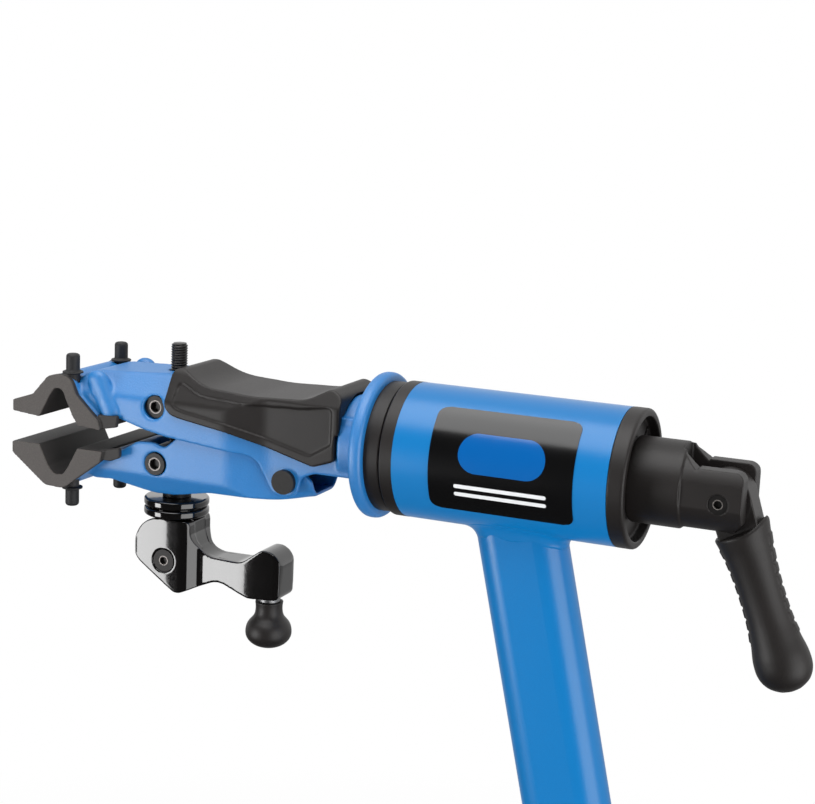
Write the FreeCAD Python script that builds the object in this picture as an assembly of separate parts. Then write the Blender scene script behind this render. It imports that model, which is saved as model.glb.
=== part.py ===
import FreeCAD, Part
import math
import os

# Folding workshop stand that holds a bicycle by its post in a pair of padded jaws.
# Millimetres, +Z up, +X from the jaws towards the turning handle.
# The origin is on the floor, under the middle of the four feet.

Vector = FreeCAD.Vector
X_AXIS = Vector(1, 0, 0)
Y_AXIS = Vector(0, 1, 0)
Z_AXIS = Vector(0, 0, 1)

# Half reach of the shapes that cut or bound pieces of the head, past every one of them
far = 60.0

# Clearances and rounding shared by the whole stand
running_fit = 0.05
seat_gap = 0.3
swing_gap = 0.5

# Stand layout
barrel_height = 1200.0
mast_lean = 13.0
foot_reach = 320.0
rear_span = 640.0
front_span = 760.0

# Crossbars and rubber feet
crossbar_radius = 16.0
crossbar_wall = 2.0
crossbar_height = 22.0
foot_radius = 20.0
foot_length = 46.0
foot_end = 5.0
sole_width = 30.0

# Masts: flat-oval tubes, long side along X
upper_mast_length = 760.0
mast_width = 50.8
mast_depth = 30.0
mast_wall = 2.0
lower_mast_width = 58.8
lower_mast_depth = 38.0
lower_mast_top = 860.0
liner_length = 60.0
liner_lip = 3.0
glide_length = 40.0

# Height collar and its quick lever
collar_height = 40.0
collar_wall = 5.0
collar_slot = 4.0
collar_drop = 2.0
lug_reach = 18.0
lug_thickness = 8.0
lug_height = 28.0
collar_bolt_radius = 3.0
cam_head_radius = 9.0
quick_lever_length = 84.0
quick_lever_height = 18.0
quick_lever_thickness = 7.0

# Front leg, its bracket and its clamping knob
leg_radius = 17.0
leg_wall = 2.0
leg_hinge_height = 620.0
leg_hinge_offset = 55.0
leg_stub = 17.0
bracket_thickness = 4.0
bracket_height = 76.0
bracket_bolt_radius = 4.0
bracket_bolt_spacing = 44.0
bracket_spacer_radius = 7.0
hinge_bolt_radius = 5.0
leg_knob_radius = 22.0
leg_knob_height = 18.0
leg_knob_lobes = 6

# Barrel, its end rings and the label plate
barrel_left = -59.8
barrel_right = 61.6
barrel_radius = 38.0
barrel_wall = 3.0
mast_cross = -4.7
weld_size = 7.0
front_ring_width = 7.6
rear_cap_width = 9.4
rear_cap_rim = 4.2
rear_cap_recess = 6.0
bush_depth = 26.0
notch_count = 4
notch_width = 3.0
label_left = -38.0
label_right = 46.0
label_low = -25.0
label_high = 30.0
label_thickness = 0.4
label_corner = 6.0
label_gap = 0.02

# Spindle, clutch ring and draw bolt
spindle_radius = 16.0
spindle_end = 58.0
draw_bolt_radius = 6.0
draw_bolt_start = 12.0
flange_left = -85.0
flange_right = -77.1
flange_radius = 41.5
flange_round = 2.8
clutch_ring_radius = 36.8
ring_gap = 0.7
thrust_washer_thickness = 1.6
thrust_washer_radius = 22.0

# Clamp arm casting
pivot_x = -131.0
pivot_z = -23.3
rod_x = -214.5
arm_half_width_slim = 23.5
arm_half_width_wide = 29.5
arm_top = 29.6
arm_wall = 3.0
arm_tip = -290.0
saddle_half_width = 31.0
hub_radius = 27.0
pivot_pin_radius = 4.0

# Rubber jaw covers
cover_half_width = 35.0
nub_x = -271.0
nub_y = 26.4
nub_radius = 4.1
nub_height = 12.0
nub_flange_radius = 6.2

# Cross dowels, the screws in their ends and the threaded rod
upper_dowel_z = 10.7
lower_dowel_z = -23.3
dowel_radius = 8.0
dowel_end_room = 4.0
lower_dowel_radius = 10.0
rod_swing_radius = 7.5
jaw_swing_slot = 3.0
screw_head_radius = 6.5
screw_head_height = 4.5
screw_socket_radius = 3.3
screw_shank_radius = 3.0
rod_radius = 5.0
rod_top = 45.0

# Thrust sleeve, adjusting discs and cam lever
sleeve_radius = 8.5
disc_radius = 19.4
disc_thickness = 4.8
disc_gap = 0.9
disc_top = -47.6
disc_round = 1.4
cam_pivot_x = -214.5
cam_pivot_z = -84.5
cam_bolt_radius = 4.0
cam_bolt_head_radius = 6.7
cam_half_width = 15.0
cam_slot_half_width = 6.5
cam_throat = 20.0
cam_top = -59.0
cam_hub_radius = 6.0
hook_set_back = 2.0
hook_room = 0.5
rod_eye_radius = 11.0
knob_x = -150.6
knob_top = -103.0
knob_bottom = -131.0
knob_radius = 13.6
knob_neck_radius = 8.4

# Turning handle
clevis_right = 129.0
clevis_radius = 23.4
clevis_cut_x = 96.0
clevis_cut_z = 13.6
clevis_flat_y = 21.5
clevis_slot = 9.3
clevis_slot_depth = 35.0
handle_pivot_x = 116.5
handle_pivot_z = -3.5
handle_bolt_radius = 4.0
handle_bolt_head_radius = 5.2
tongue_radius = 14.6
tongue_half_width = 9.0
handle_tilt = 21.5
grip_offset = 2.5
grip_flatness = 0.84
grip_rib_count = 8
grip_rib_pitch = 7.0
grip_rib_start = 29.0

# Worked-out places
clevis_left = barrel_right + rear_cap_width - rear_cap_recess + seat_gap + thrust_washer_thickness
lean = math.radians(mast_lean)
mast_up = Vector(-math.sin(lean), 0, math.cos(lean))
mast_back = Vector(math.cos(lean), 0, math.sin(lean))
head_x = foot_reach - mast_cross - (barrel_height - crossbar_height) * math.tan(lean)
head_origin = Vector(head_x, 0, barrel_height)
mast_head = Vector(head_x + mast_cross, 0, barrel_height)
mast_foot = Vector(foot_reach, 0, crossbar_height)
leg_hinge_run = (leg_hinge_height - crossbar_height) / math.cos(lean)
leg_hinge = mast_foot + mast_up * leg_hinge_run - mast_back * leg_hinge_offset
mast_toe = foot_reach + lower_mast_width / 2 / math.cos(lean)
front_reach = mast_toe - foot_radius
leg_foot = Vector(-front_reach, 0, crossbar_height)
leg_length = (leg_foot - leg_hinge).Length
leg_down = (leg_foot - leg_hinge).normalize()


def cylinder(start, direction, radius, length):
    return Part.makeCylinder(radius, length, start, direction)


def cylinder_y(x, z, radius, y_low, y_high):
    return cylinder(Vector(x, y_low, z), Y_AXIS, radius, y_high - y_low)


def cylinder_x(x_low, x_high, radius):
    return cylinder(Vector(x_low, 0, 0), X_AXIS, radius, x_high - x_low)


def cylinder_z(x, y, z_low, z_high, radius):
    return cylinder(Vector(x, y, z_low), Z_AXIS, radius, z_high - z_low)


def block(x_low, x_high, y_low, y_high, z_low, z_high):
    size = (x_high - x_low, y_high - y_low, z_high - z_low)
    return Part.makeBox(*size, Vector(x_low, y_low, z_low))


def on_plane(plane, a, b, level):
    places = {"xz": Vector(a, level, b), "xy": Vector(a, b, level), "yz": Vector(level, a, b)}
    return places[plane]


def outline(plane, corners, level):
    """Closed wire through corners (a, b, radius), each corner rounded to its radius."""
    points = [on_plane(plane, a, b, level) for a, b, _ in corners]
    starts = []
    ends = []
    middles = []
    for index, point in enumerate(points):
        radius = corners[index][2]
        back = (points[index - 1] - point).normalize()
        ahead = (points[(index + 1) % len(points)] - point).normalize()
        half = back.getAngle(ahead) / 2
        if radius == 0:
            starts.append(point)
            ends.append(point)
            middles.append(None)
            continue
        run = radius / math.tan(half)
        inward = (back + ahead).normalize()
        centre = point + inward * (radius / math.sin(half))
        starts.append(point + back * run)
        ends.append(point + ahead * run)
        middles.append(centre - inward * radius)
    edges = []
    for index in range(len(points)):
        if middles[index] is not None:
            edges.append(Part.Arc(starts[index], middles[index], ends[index]).toShape())
        following = starts[(index + 1) % len(points)]
        edges.append(Part.LineSegment(ends[index], following).toShape())
    return Part.Wire(edges)


def prism(plane, corners, low, high):
    """Solid of a rounded outline, pushed along the axis that the plane leaves out."""
    along = {"xz": Y_AXIS, "xy": Z_AXIS, "yz": X_AXIS}[plane]
    return Part.Face(outline(plane, corners, low)).extrude(along * (high - low))


def round_edges(solid, radius, wanted):
    edges = [edge for edge in solid.Edges if wanted(edge)]
    return solid.makeFillet(radius, edges) if edges else solid


def circle_edge_at(axis, value, radius):
    def test(edge):
        centre = edge.BoundBox.Center
        is_circle = hasattr(edge.Curve, "Radius") and abs(edge.Curve.Radius - radius) < 0.01
        return is_circle and abs(getattr(centre, axis) - value) < 0.01
    return test


def oval(width, depth, low, high):
    """Flat-oval bar about Z, long side along X."""
    half = (width - depth) / 2
    bar = block(-half, half, -depth / 2, depth / 2, low, high)
    for side in (-half, half):
        bar = bar.fuse(cylinder_z(side, 0, low, high, depth / 2))
    return bar.removeSplitter()


def on_mast(shape, base):
    """Turn a shape made about Z to the mast's lean and stand it at base."""
    leaning = shape.copy()
    leaning.rotate(Vector(0, 0, 0), Y_AXIS, -mast_lean)
    leaning.translate(base)
    return leaning


def in_head(shape):
    placed = shape.copy()
    placed.translate(head_origin)
    return placed


def socket_screw(x, z, side, face_y, head_radius, head_height, shank_radius, shank_length, socket_radius):
    """Cap screw along Y with its head's inner face at face_y, side -1 is the front."""
    direction = Vector(0, side, 0)
    seat = Vector(x, face_y, z)
    head = cylinder(seat, direction, head_radius, head_height)
    shank = cylinder(seat, direction * -1, shank_radius, shank_length)
    top = seat + direction * (head_height - socket_radius * 0.8)
    return head.fuse(shank).cut(hexagon(top, direction, socket_radius, head_height))


def hexagon(centre, direction, radius, length):
    across = Z_AXIS if abs(direction.z) < 0.5 else X_AXIS
    side = direction.cross(across)
    points = []
    for index in range(7):
        angle = math.radians(60 * index)
        points.append(centre + across * (radius * math.cos(angle)) + side * (radius * math.sin(angle)))
    return Part.Face(Part.makePolygon(points)).extrude(direction * length)


# Rear crossbar, lower mast and feet
def rear_crossbar():
    return crossbar(foot_reach, rear_span)


def crossbar(x, span):
    length = span - 2 * foot_end
    start = Vector(x, -length / 2, crossbar_height)
    bar = cylinder(start, Y_AXIS, crossbar_radius, length)
    return bar.cut(cylinder(start, Y_AXIS, crossbar_radius - crossbar_wall, length))


def foot_caps(x, span):
    caps = []
    for side in (-1, 1):
        inner_y = side * (span / 2 - foot_length)
        outer_y = side * span / 2
        low, high = sorted((inner_y, outer_y))
        cap = cylinder_y(x, crossbar_height, foot_radius, low, high)
        sole = block(x - sole_width / 2, x + sole_width / 2, low, high, 0, crossbar_height)
        cap = cap.fuse(sole).removeSplitter()
        bore_end = outer_y - side * foot_end
        bore_low, bore_high = sorted((inner_y, bore_end))
        caps.append(cap.cut(cylinder_y(x, crossbar_height, crossbar_radius, bore_low, bore_high)))
    return Part.Compound(caps)


def lower_mast():
    inner_width = lower_mast_width - 2 * mast_wall
    inner_depth = lower_mast_depth - 2 * mast_wall
    tube = oval(lower_mast_width, lower_mast_depth, -lower_mast_width, lower_mast_top)
    tube = tube.cut(oval(inner_width, inner_depth, -2 * lower_mast_width, lower_mast_top + 1))
    placed = on_mast(tube, mast_foot)
    placed = placed.cut(block(0, 2 * foot_reach, -100, 100, -200, crossbar_height))
    return placed.cut(cylinder(mast_foot - Y_AXIS * rear_span, Y_AXIS, crossbar_radius, 2 * rear_span))


# Height collar: liner, split clamp ring, bolt and cam lever
def collar_liner():
    outer_width = lower_mast_width - 2 * mast_wall
    outer_depth = lower_mast_depth - 2 * mast_wall
    sleeve = oval(outer_width, outer_depth, lower_mast_top - liner_length, lower_mast_top)
    lip = oval(lower_mast_width, lower_mast_depth, lower_mast_top, lower_mast_top + liner_lip)
    bore = oval(mast_width + 2 * running_fit, mast_depth + 2 * running_fit, 0, lower_mast_top + 2 * liner_lip)
    return on_mast(sleeve.fuse(lip).cut(bore), mast_foot)


def collar_span():
    high = lower_mast_top - collar_drop
    return high - collar_height, high


def lug_centre_x():
    return lower_mast_width / 2 + collar_wall + lug_reach / 2


def collar_clamp():
    low, high = collar_span()
    ring = oval(lower_mast_width + 2 * collar_wall, lower_mast_depth + 2 * collar_wall, low, high)
    middle = (low + high) / 2
    lug_end = lower_mast_width / 2 + collar_wall + lug_reach
    half = collar_slot / 2 + lug_thickness
    corners = [(lower_mast_width / 2, middle - lug_height / 2, 0), (lug_end, middle - lug_height / 2, 6),
               (lug_end, middle + lug_height / 2, 6), (lower_mast_width / 2, middle + lug_height / 2, 0)]
    ring = ring.fuse(prism("xz", corners, -half, half)).removeSplitter()
    ring = ring.cut(oval(lower_mast_width, lower_mast_depth, low - 1, high + 1))
    ring = ring.cut(block(0, lug_end + 1, -collar_slot / 2, collar_slot / 2, low - 1, high + 1))
    bolt_hole = cylinder_y(lug_centre_x(), middle, collar_bolt_radius + running_fit, -2 * half, 2 * half)
    return on_mast(ring.cut(bolt_hole), mast_foot)


def cam_axis_y():
    return collar_slot / 2 + lug_thickness + cam_head_radius + seat_gap


def collar_bolt():
    low, high = collar_span()
    middle = (low + high) / 2
    nut_face = -(collar_slot / 2 + lug_thickness)
    shaft = cylinder_y(lug_centre_x(), middle, collar_bolt_radius, nut_face - 8, cam_axis_y())
    eye = cylinder_z(lug_centre_x(), cam_axis_y(), middle - 4, middle + 4, 5)
    return on_mast(shaft.fuse(eye).cut(cam_pin_bar(running_fit)), mast_foot)


def cam_pin_bar(extra):
    low, high = collar_span()
    middle = (low + high) / 2
    return cylinder_z(lug_centre_x(), cam_axis_y(), middle - quick_lever_height / 2 - 1,
                      middle + quick_lever_height / 2 + 1, 2.5 + extra)


def collar_cam_pin():
    return on_mast(cam_pin_bar(0), mast_foot)


def collar_nut():
    low, high = collar_span()
    middle = (low + high) / 2
    face = -(collar_slot / 2 + lug_thickness)
    body = cylinder_y(lug_centre_x(), middle, 6.5, face - 7, face)
    grooves = [cylinder_y(lug_centre_x() + 7.2 * math.cos(math.radians(a)),
                          middle + 7.2 * math.sin(math.radians(a)), 1.5, face - 7, face - 2)
               for a in range(0, 360, 45)]
    body = body.cut(Part.Compound(grooves))
    return on_mast(body.cut(cylinder_y(lug_centre_x(), middle, collar_bolt_radius, face - 8, face)), mast_foot)


def collar_lever():
    """Cam head on the bolt's end with a blade that lies along the mast's side."""
    low, high = collar_span()
    middle = (low + high) / 2
    x = lug_centre_x()
    y = cam_axis_y()
    tip = x - quick_lever_length
    thick = quick_lever_thickness
    corners = [(x + 2, y - 2, 2), (x + 2, y + thick, 4), (x - 20, y + thick + 5.5, 20), (tip, y + thick + 7.5, 2.5),
               (tip, y + 9, 2.5), (x - 24, y + 6.2, 16), (x - 9, y - 1, 3)]
    blade = prism("xy", corners, middle - quick_lever_height / 2, middle + quick_lever_height / 2)
    head = cylinder_z(x, y, middle - quick_lever_height / 2, middle + quick_lever_height / 2, cam_head_radius)
    lever = head.fuse(blade).removeSplitter()
    slot_reach = cam_head_radius + 1
    slot = block(x - 6, x + slot_reach, y - slot_reach, y + slot_reach, middle - 4.3, middle + 4.3)
    return on_mast(lever.cut(slot).cut(cam_pin_bar(running_fit)), mast_foot)


# Folding bracket on the lower mast, with its bolts, stop block and knob
def bracket_bolt_x():
    return lower_mast_width / 2 + bracket_spacer_radius + seat_gap


def bracket_corners():
    rear = bracket_bolt_x() + 10
    front = -leg_hinge_offset - 18
    low = leg_hinge_run - bracket_height / 2
    high = leg_hinge_run + bracket_height / 2
    return [(rear, low, 5), (rear, high, 5), (-20, high, 12), (front, leg_hinge_run + 18, 14),
            (front, leg_hinge_run - 18, 14), (-20, low, 12)]


def leg_bracket_plates():
    plates = []
    for side in (-1, 1):
        low, high = sorted((side * lower_mast_depth / 2, side * (lower_mast_depth / 2 + bracket_thickness)))
        plate = prism("xz", bracket_corners(), low, high)
        for shift in (-bracket_bolt_spacing / 2, bracket_bolt_spacing / 2):
            plate = plate.cut(cylinder_y(bracket_bolt_x(), leg_hinge_run + shift, bracket_bolt_radius,
                                         low - 1, high + 1))
        plate = plate.cut(cylinder_y(-leg_hinge_offset, leg_hinge_run, hinge_bolt_radius, low - 1, high + 1))
        plates.append(plate)
    return on_mast(Part.Compound(plates), mast_foot)


def bracket_bolts():
    """Two cap bolts with nuts that pull the plates together behind the mast."""
    outer = lower_mast_depth / 2 + bracket_thickness
    bolts = []
    for shift in (-bracket_bolt_spacing / 2, bracket_bolt_spacing / 2):
        z = leg_hinge_run + shift
        bolts.append(socket_screw(bracket_bolt_x(), z, -1, -outer, 6.5, 6, bracket_bolt_radius,
                                  2 * outer + 8, 3.4))
        nut = hexagon(Vector(bracket_bolt_x(), outer, z), Y_AXIS, 7.2, 6)
        bolts[-1] = bolts[-1].fuse(nut)
    return on_mast(Part.Compound(bolts), mast_foot)


def bracket_spacers():
    half = lower_mast_depth / 2
    spacers = []
    for shift in (-bracket_bolt_spacing / 2, bracket_bolt_spacing / 2):
        z = leg_hinge_run + shift
        tube = cylinder_y(bracket_bolt_x(), z, bracket_spacer_radius, -half, half)
        spacers.append(tube.cut(cylinder_y(bracket_bolt_x(), z, bracket_bolt_radius, -half, half)))
    return on_mast(Part.Compound(spacers), mast_foot)


def leg_stop_block():
    """Plastic pad on the mast's front that the leg's upper stub leans on."""
    leg_angle = math.degrees(math.atan2(-leg_down.x, -leg_down.z)) + mast_lean
    front = -lower_mast_width / 2
    base = leg_hinge_run
    half = lower_mast_depth / 2 - seat_gap
    pad = block(front - 12, front + 8, -half, half, base - 4, base + 30)
    pad = pad.cut(oval(lower_mast_width, lower_mast_depth, base - 10, base + 40))
    clear = cylinder(Vector(-leg_hinge_offset, 0, base) - slant(leg_angle) * leg_length,
                     slant(leg_angle), leg_radius + seat_gap, 2 * leg_length)
    return on_mast(pad.cut(clear), mast_foot)


def slant(angle):
    """Direction of the leg seen in the mast's own frame."""
    return Vector(-math.sin(math.radians(angle)), 0, -math.cos(math.radians(angle)))


def leg_hinge_bolt():
    outer = lower_mast_depth / 2 + bracket_thickness
    start = leg_hinge + Y_AXIS * (outer + 1.6)
    bolt = cylinder(start, Y_AXIS * -1, hinge_bolt_radius, 2 * outer + 1.6 + 14)
    head = hexagon(start, Y_AXIS, 9.2, 6.4)
    washer = cylinder(start, Y_AXIS * -1, 10.5, 1.6)
    return bolt.fuse(head).fuse(washer)


def leg_washers():
    gap = lower_mast_depth / 2 - leg_radius - seat_gap
    washers = []
    for side in (-1, 1):
        start = leg_hinge + Y_AXIS * (side * lower_mast_depth / 2)
        ring = cylinder(start, Y_AXIS * -side, 12, gap)
        washers.append(ring.cut(cylinder(start, Y_AXIS * -side, hinge_bolt_radius, gap)))
    return Part.Compound(washers)


def leg_knob():
    """Lobed knob on the threaded end of the hinge bolt."""
    outer = lower_mast_depth / 2 + bracket_thickness
    start = leg_hinge - Y_AXIS * (outer + seat_gap)
    body = cylinder(start, Y_AXIS * -1, leg_knob_radius, leg_knob_height)
    body = body.makeFillet(3, [body.Edges[0], body.Edges[2]])
    for index in range(leg_knob_lobes):
        angle = 2 * math.pi * index / leg_knob_lobes
        out = Vector(math.cos(angle), 0, math.sin(angle)) * (leg_knob_radius + 4)
        body = body.cut(cylinder(start + out + Y_AXIS, Y_AXIS * -1, 8, leg_knob_height + 2))
    return body.cut(cylinder(start, Y_AXIS * -1, hinge_bolt_radius + running_fit, 14 - seat_gap + 0.5))


# Front leg with its crossbar
def front_leg():
    start = leg_hinge - leg_down * leg_stub
    length = leg_length + leg_stub
    tube = cylinder(start, leg_down, leg_radius, length)
    tube = tube.cut(cylinder(start + leg_down * 4, leg_down, leg_radius - leg_wall, length))
    boss = cylinder(leg_hinge - Y_AXIS * leg_radius, Y_AXIS, 9, 2 * leg_radius)
    tube = tube.fuse(boss.common(cylinder(start, leg_down, leg_radius, length)))
    across = 2 * leg_radius
    tube = tube.cut(cylinder(leg_hinge - Y_AXIS * across, Y_AXIS, hinge_bolt_radius + running_fit, 2 * across))
    return tube.cut(cylinder(leg_foot - Y_AXIS * across, Y_AXIS, crossbar_radius, 2 * across))


# Upper mast with the barrel on its top
def upper_mast():
    tube = oval(mast_width, mast_depth, -upper_mast_length, 0)
    tube = tube.cut(oval(mast_width - 2 * mast_wall, mast_depth - 2 * mast_wall, -upper_mast_length - 1, 1))
    placed = on_mast(tube, mast_head)
    return placed.cut(in_head(cylinder_x(-200, 200, barrel_radius)))


def mast_glide():
    """Plastic plug in the foot of the upper mast that slides inside the lower one."""
    outer_width = lower_mast_width - 2 * mast_wall - 2 * running_fit
    outer_depth = lower_mast_depth - 2 * mast_wall - 2 * running_fit
    low = -upper_mast_length - 4
    ring = oval(outer_width, outer_depth, low, low + glide_length)
    ring = ring.cut(oval(mast_width, mast_depth, -upper_mast_length, low + glide_length + 1))
    core = oval(mast_width - 2 * mast_wall, mast_depth - 2 * mast_wall, low + 1, low + glide_length)
    plug = ring.fuse(core).cut(oval(mast_width - 12, mast_depth - 12, low - 1, low + glide_length + 1))
    return on_mast(plug, mast_head)


def head_barrel():
    shell = cylinder_x(barrel_left, barrel_right, barrel_radius)
    return in_head(shell.cut(cylinder_x(barrel_left, barrel_right, barrel_radius - barrel_wall)))


def mast_weld():
    """Hollow weld fillet where the mast meets the barrel."""
    steps = 5
    wires = []
    for index in range(steps):
        turn = math.pi / 2 * index / (steps - 1)
        spread = weld_size * (1 - math.sin(turn)) + 0.2
        level = -barrel_radius + 6 - (weld_size + 6) * (1 - math.cos(turn)) - 4 * index / steps
        section = oval(mast_width + 2 * spread, mast_depth + 2 * spread, level, level + 1)
        wires.append(section.slice(Z_AXIS, level + 0.5)[0])
    collar = Part.makeLoft(wires, True, True)
    bore = oval(mast_width, mast_depth, -3 * barrel_radius, 0)
    placed = on_mast(collar.cut(bore), mast_head)
    return placed.cut(in_head(cylinder_x(-200, 200, barrel_radius)))


def front_ring():
    outer = cylinder_x(barrel_left - front_ring_width, barrel_left, barrel_radius + 0.1)
    outer = round_edges(outer, 1.0, circle_edge_at("x", barrel_left - front_ring_width, barrel_radius + 0.1))
    sleeve = cylinder_x(barrel_left, barrel_left + bush_depth, barrel_radius - barrel_wall)
    bore = cylinder_x(-200, 0, spindle_radius + running_fit)
    return in_head(outer.fuse(sleeve).cut(bore))


def rear_cap():
    end = barrel_right + rear_cap_width
    outer = cylinder_x(barrel_right, end, barrel_radius + 0.1)
    outer = round_edges(outer, 1.6, circle_edge_at("x", end, barrel_radius + 0.1))
    sleeve = cylinder_x(barrel_right - bush_depth, barrel_right, barrel_radius - barrel_wall)
    cap = outer.fuse(sleeve)
    inner = barrel_radius - rear_cap_rim
    cap = cap.cut(cylinder_x(end - rear_cap_recess, end + 1, inner))
    for index in range(notch_count):
        notch = block(end - rear_cap_recess - 2, end, inner - 7, inner - 0.5, -notch_width / 2, notch_width / 2)
        notch.rotate(Vector(0, 0, 0), X_AXIS, 45 + 360 * index / notch_count)
        cap = cap.cut(notch)
    return in_head(cap.cut(cylinder_x(0, 200, spindle_radius + running_fit)))


def label_plate():
    shell = cylinder_x(label_left, label_right, barrel_radius + label_thickness)
    shell = shell.cut(cylinder_x(label_left, label_right, barrel_radius + label_gap))
    corners = [(label_left, label_low, label_corner), (label_left, label_high, label_corner),
               (label_right, label_high, label_corner), (label_right, label_low, label_corner)]
    return in_head(shell.common(prism("xz", corners, -2 * barrel_radius, 0)))


# Spindle, clutch ring, draw bolt and thrust washer
def spindle():
    bar = cylinder_x(flange_right, spindle_end, spindle_radius)
    return in_head(bar.cut(cylinder_x(draw_bolt_start - 4, spindle_end, draw_bolt_radius + running_fit)))


def clutch_ring():
    right = barrel_left - front_ring_width - ring_gap
    ring = cylinder_x(flange_right, right, clutch_ring_radius)
    ring = round_edges(ring, 0.9, circle_edge_at("x", right, clutch_ring_radius))
    return in_head(ring.cut(cylinder_x(-200, 0, spindle_radius)))


def draw_bolt():
    return in_head(cylinder_x(draw_bolt_start, clevis_left + 22, draw_bolt_radius))


def thrust_washer():
    left = clevis_left - thrust_washer_thickness
    ring = cylinder_x(left, clevis_left, thrust_washer_radius)
    return in_head(ring.cut(cylinder_x(left, clevis_left, draw_bolt_radius + running_fit)))


# Clamp arm casting
def jaw_half_width_slim():
    return arm_half_width_slim - arm_wall - swing_gap


def jaw_half_width_wide():
    return arm_half_width_wide - arm_wall - swing_gap


def waisted_plan(slim, wide, left, right):
    """Plan outline that is slim by the flange and wide by the jaws."""
    return [(right, -slim, 2), (right, slim, 2), (-143, slim, 30), (-167, wide, 30),
            (left, wide, 4), (left, -wide, 4), (-167, -wide, 30), (-143, -slim, 30)]


def arm_side_outline():
    return [(flange_left + 2, -16.6, 0), (-113, -16.8, 4), (-121, -20, 4), (pivot_x + 7, -32, 6),
            (pivot_x - 8, -32, 7), (-150, -11, 12), (-173, -9, 6), (-206, -5.8, 10), (-221, -3.1, 10),
            (-238, 1.5, 6), (-252, 3.0, 3), (-268, 18, 3), (-268, 24, 6), (-258, 27, 20), (-232, 28.2, 30),
            (-209, arm_top, 3), (-202, 22.5, 5), (-192, 19.5, 10), (flange_left + 2, 17.5, 0)]


def roof_section(half, shoulder, roof_half, roof):
    """Cross-section with upright walls to the shoulder and slopes up to a flat roof."""
    return [(-half, -far, 0), (-half, shoulder, 8), (-roof_half, roof, 10), (roof_half, roof, 10),
            (half, shoulder, 8), (half, -far, 0)]


def arm_section(inset):
    """Outside of the arm, sunk by inset."""
    slope_inset = inset * 0.45
    return roof_section(arm_half_width_wide - inset, 15 - slope_inset, 16 - slope_inset, arm_top + 0.4 - inset)


def jaw_arch(inset):
    """Outer outline of the upper cover, sunk by inset."""
    return [(-303.6 + inset, -2, 0), (-303.6 + inset, 6.2 - inset, 1.5), (-293.6, 11 - inset, 4),
            (-283 + inset * 0.4, 23 - inset, 7), (-275.5, 24.9 - inset, 9), (-267.5 - inset * 0.4, 23.2 - inset, 7),
            (-263.2 - inset * 0.3, 13.4 - inset, 4), (-249.6 - inset, 1.2, 2), (-249.6 - inset, -4, 0)]


def clamp_arm():
    side = prism("xz", arm_side_outline(), -far, far)
    plan = prism("xy", waisted_plan(arm_half_width_slim, arm_half_width_wide, arm_tip, flange_left + 2), -far, far)
    section = prism("yz", arm_section(0), arm_tip, flange_left + 2)
    body = side.common(plan).common(section)
    saddle_outline = jaw_arch(0.4)
    saddle = prism("xz", saddle_outline, -saddle_half_width, saddle_half_width)
    flange = cylinder_x(flange_left, flange_right, flange_radius)
    flange = flange.makeFillet(flange_round, [e for e in flange.Edges if abs(e.Length - math.tau * flange_radius) < 1])
    hub = cylinder(Vector(flange_left - 13, 0, 0), X_AXIS, hub_radius, 15)
    hub = hub.common(block(-200, 0, -40, 40, -16.6, 40))
    ribs = []
    for side_sign in (-1, 1):
        rib = prism("xz", [(-257.5, 17, 3), (-250, 22.5, 4), (-240.5, 9, 4), (-242.6, 4.4, 2), (-246, 4.6, 2)],
                    min(0, side_sign * (arm_half_width_wide + 1.2)), max(0, side_sign * (arm_half_width_wide + 1.2)))
        ribs.append(rib)
    arm = body.fuse([saddle, flange, hub] + ribs).removeSplitter()
    cavity_plan = waisted_plan(arm_half_width_slim - arm_wall, arm_half_width_wide - arm_wall, -231, flange_left - 22)
    cavity_side = [(flange_left - 22, -far, 0), (flange_left - 22, 6, 5), (-196, 13, 5), (-204, 23, 4),
                   (-226, 23, 6), (-231, 14, 6), (-231, -far, 0)]
    cavity = prism("xy", cavity_plan, -far, 40).common(prism("xz", cavity_side, -far, far))
    arm = arm.cut(cavity.common(prism("yz", arm_section(arm_wall), arm_tip, flange_left)))
    arm = arm.cut(prism("xz", upper_cover_seat(seat_gap), -far, far))
    arm = arm.cut(cylinder_y(rod_x, upper_dowel_z, screw_head_radius + seat_gap, -far, far))
    arm = arm.cut(cylinder_y(pivot_x, pivot_z, pivot_pin_radius, -far, far))
    arm = arm.cut(cylinder_z(rod_x, 0, 0, far, rod_radius + 1.2))
    for sign in (-1, 1):
        arm = arm.cut(cylinder_z(nub_x, sign * nub_y, 0, far, nub_radius))
    return arm


def jaw_pivot_pin():
    """Headed pin that hinges the lower jaw in the arm's ears."""
    half = arm_half_width_slim
    bar = cylinder_y(pivot_x, pivot_z, pivot_pin_radius, -half, half + 2.5)
    head = cylinder_y(pivot_x, pivot_z, 7, -half - 3, -half)
    return in_head(bar.fuse(head))


def pivot_clip():
    half = arm_half_width_slim
    ring = cylinder_y(pivot_x, pivot_z, 6.5, half, half + 1.2)
    return in_head(ring.cut(cylinder_y(pivot_x, pivot_z, pivot_pin_radius, half, half + 1.2)))


def upper_cover_seat(gap):
    """Space that the upper cover's middle takes under the casting."""
    return [(-312, 2.6 + gap, 0), (-300.5, 2.6 + gap, 2), (-292.5, 7.4 + gap, 4), (-282.4, 18.4 + gap, 5),
            (-275.5, 20.9 + gap, 8), (-269, 18.6 + gap, 5), (-264.6, 9.0 + gap, 5), (-256.5 + gap, 0.6 + gap, 4),
            (-232, -0.9 + gap, 0), (-232, -30, 0), (-312, -30, 0)]


# Lower jaw casting
def lower_cover_seat(gap):
    """Space that the lower cover's middle takes over the casting."""
    return [(-312, -22.6 - gap, 0), (-301, -22.6 - gap, 2), (-285.6, -38.4 - gap, 6), (-278.5, -40.2 - gap, 6),
            (-271.4, -39.8 - gap, 6), (-264.4, -34.2 - gap, 5), (-253.5, -22.4 - gap, 3),
            (-244.8 + gap, -21.8 - gap, 0), (-244.8 + gap, 10, 0), (-312, 10, 0)]


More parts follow.
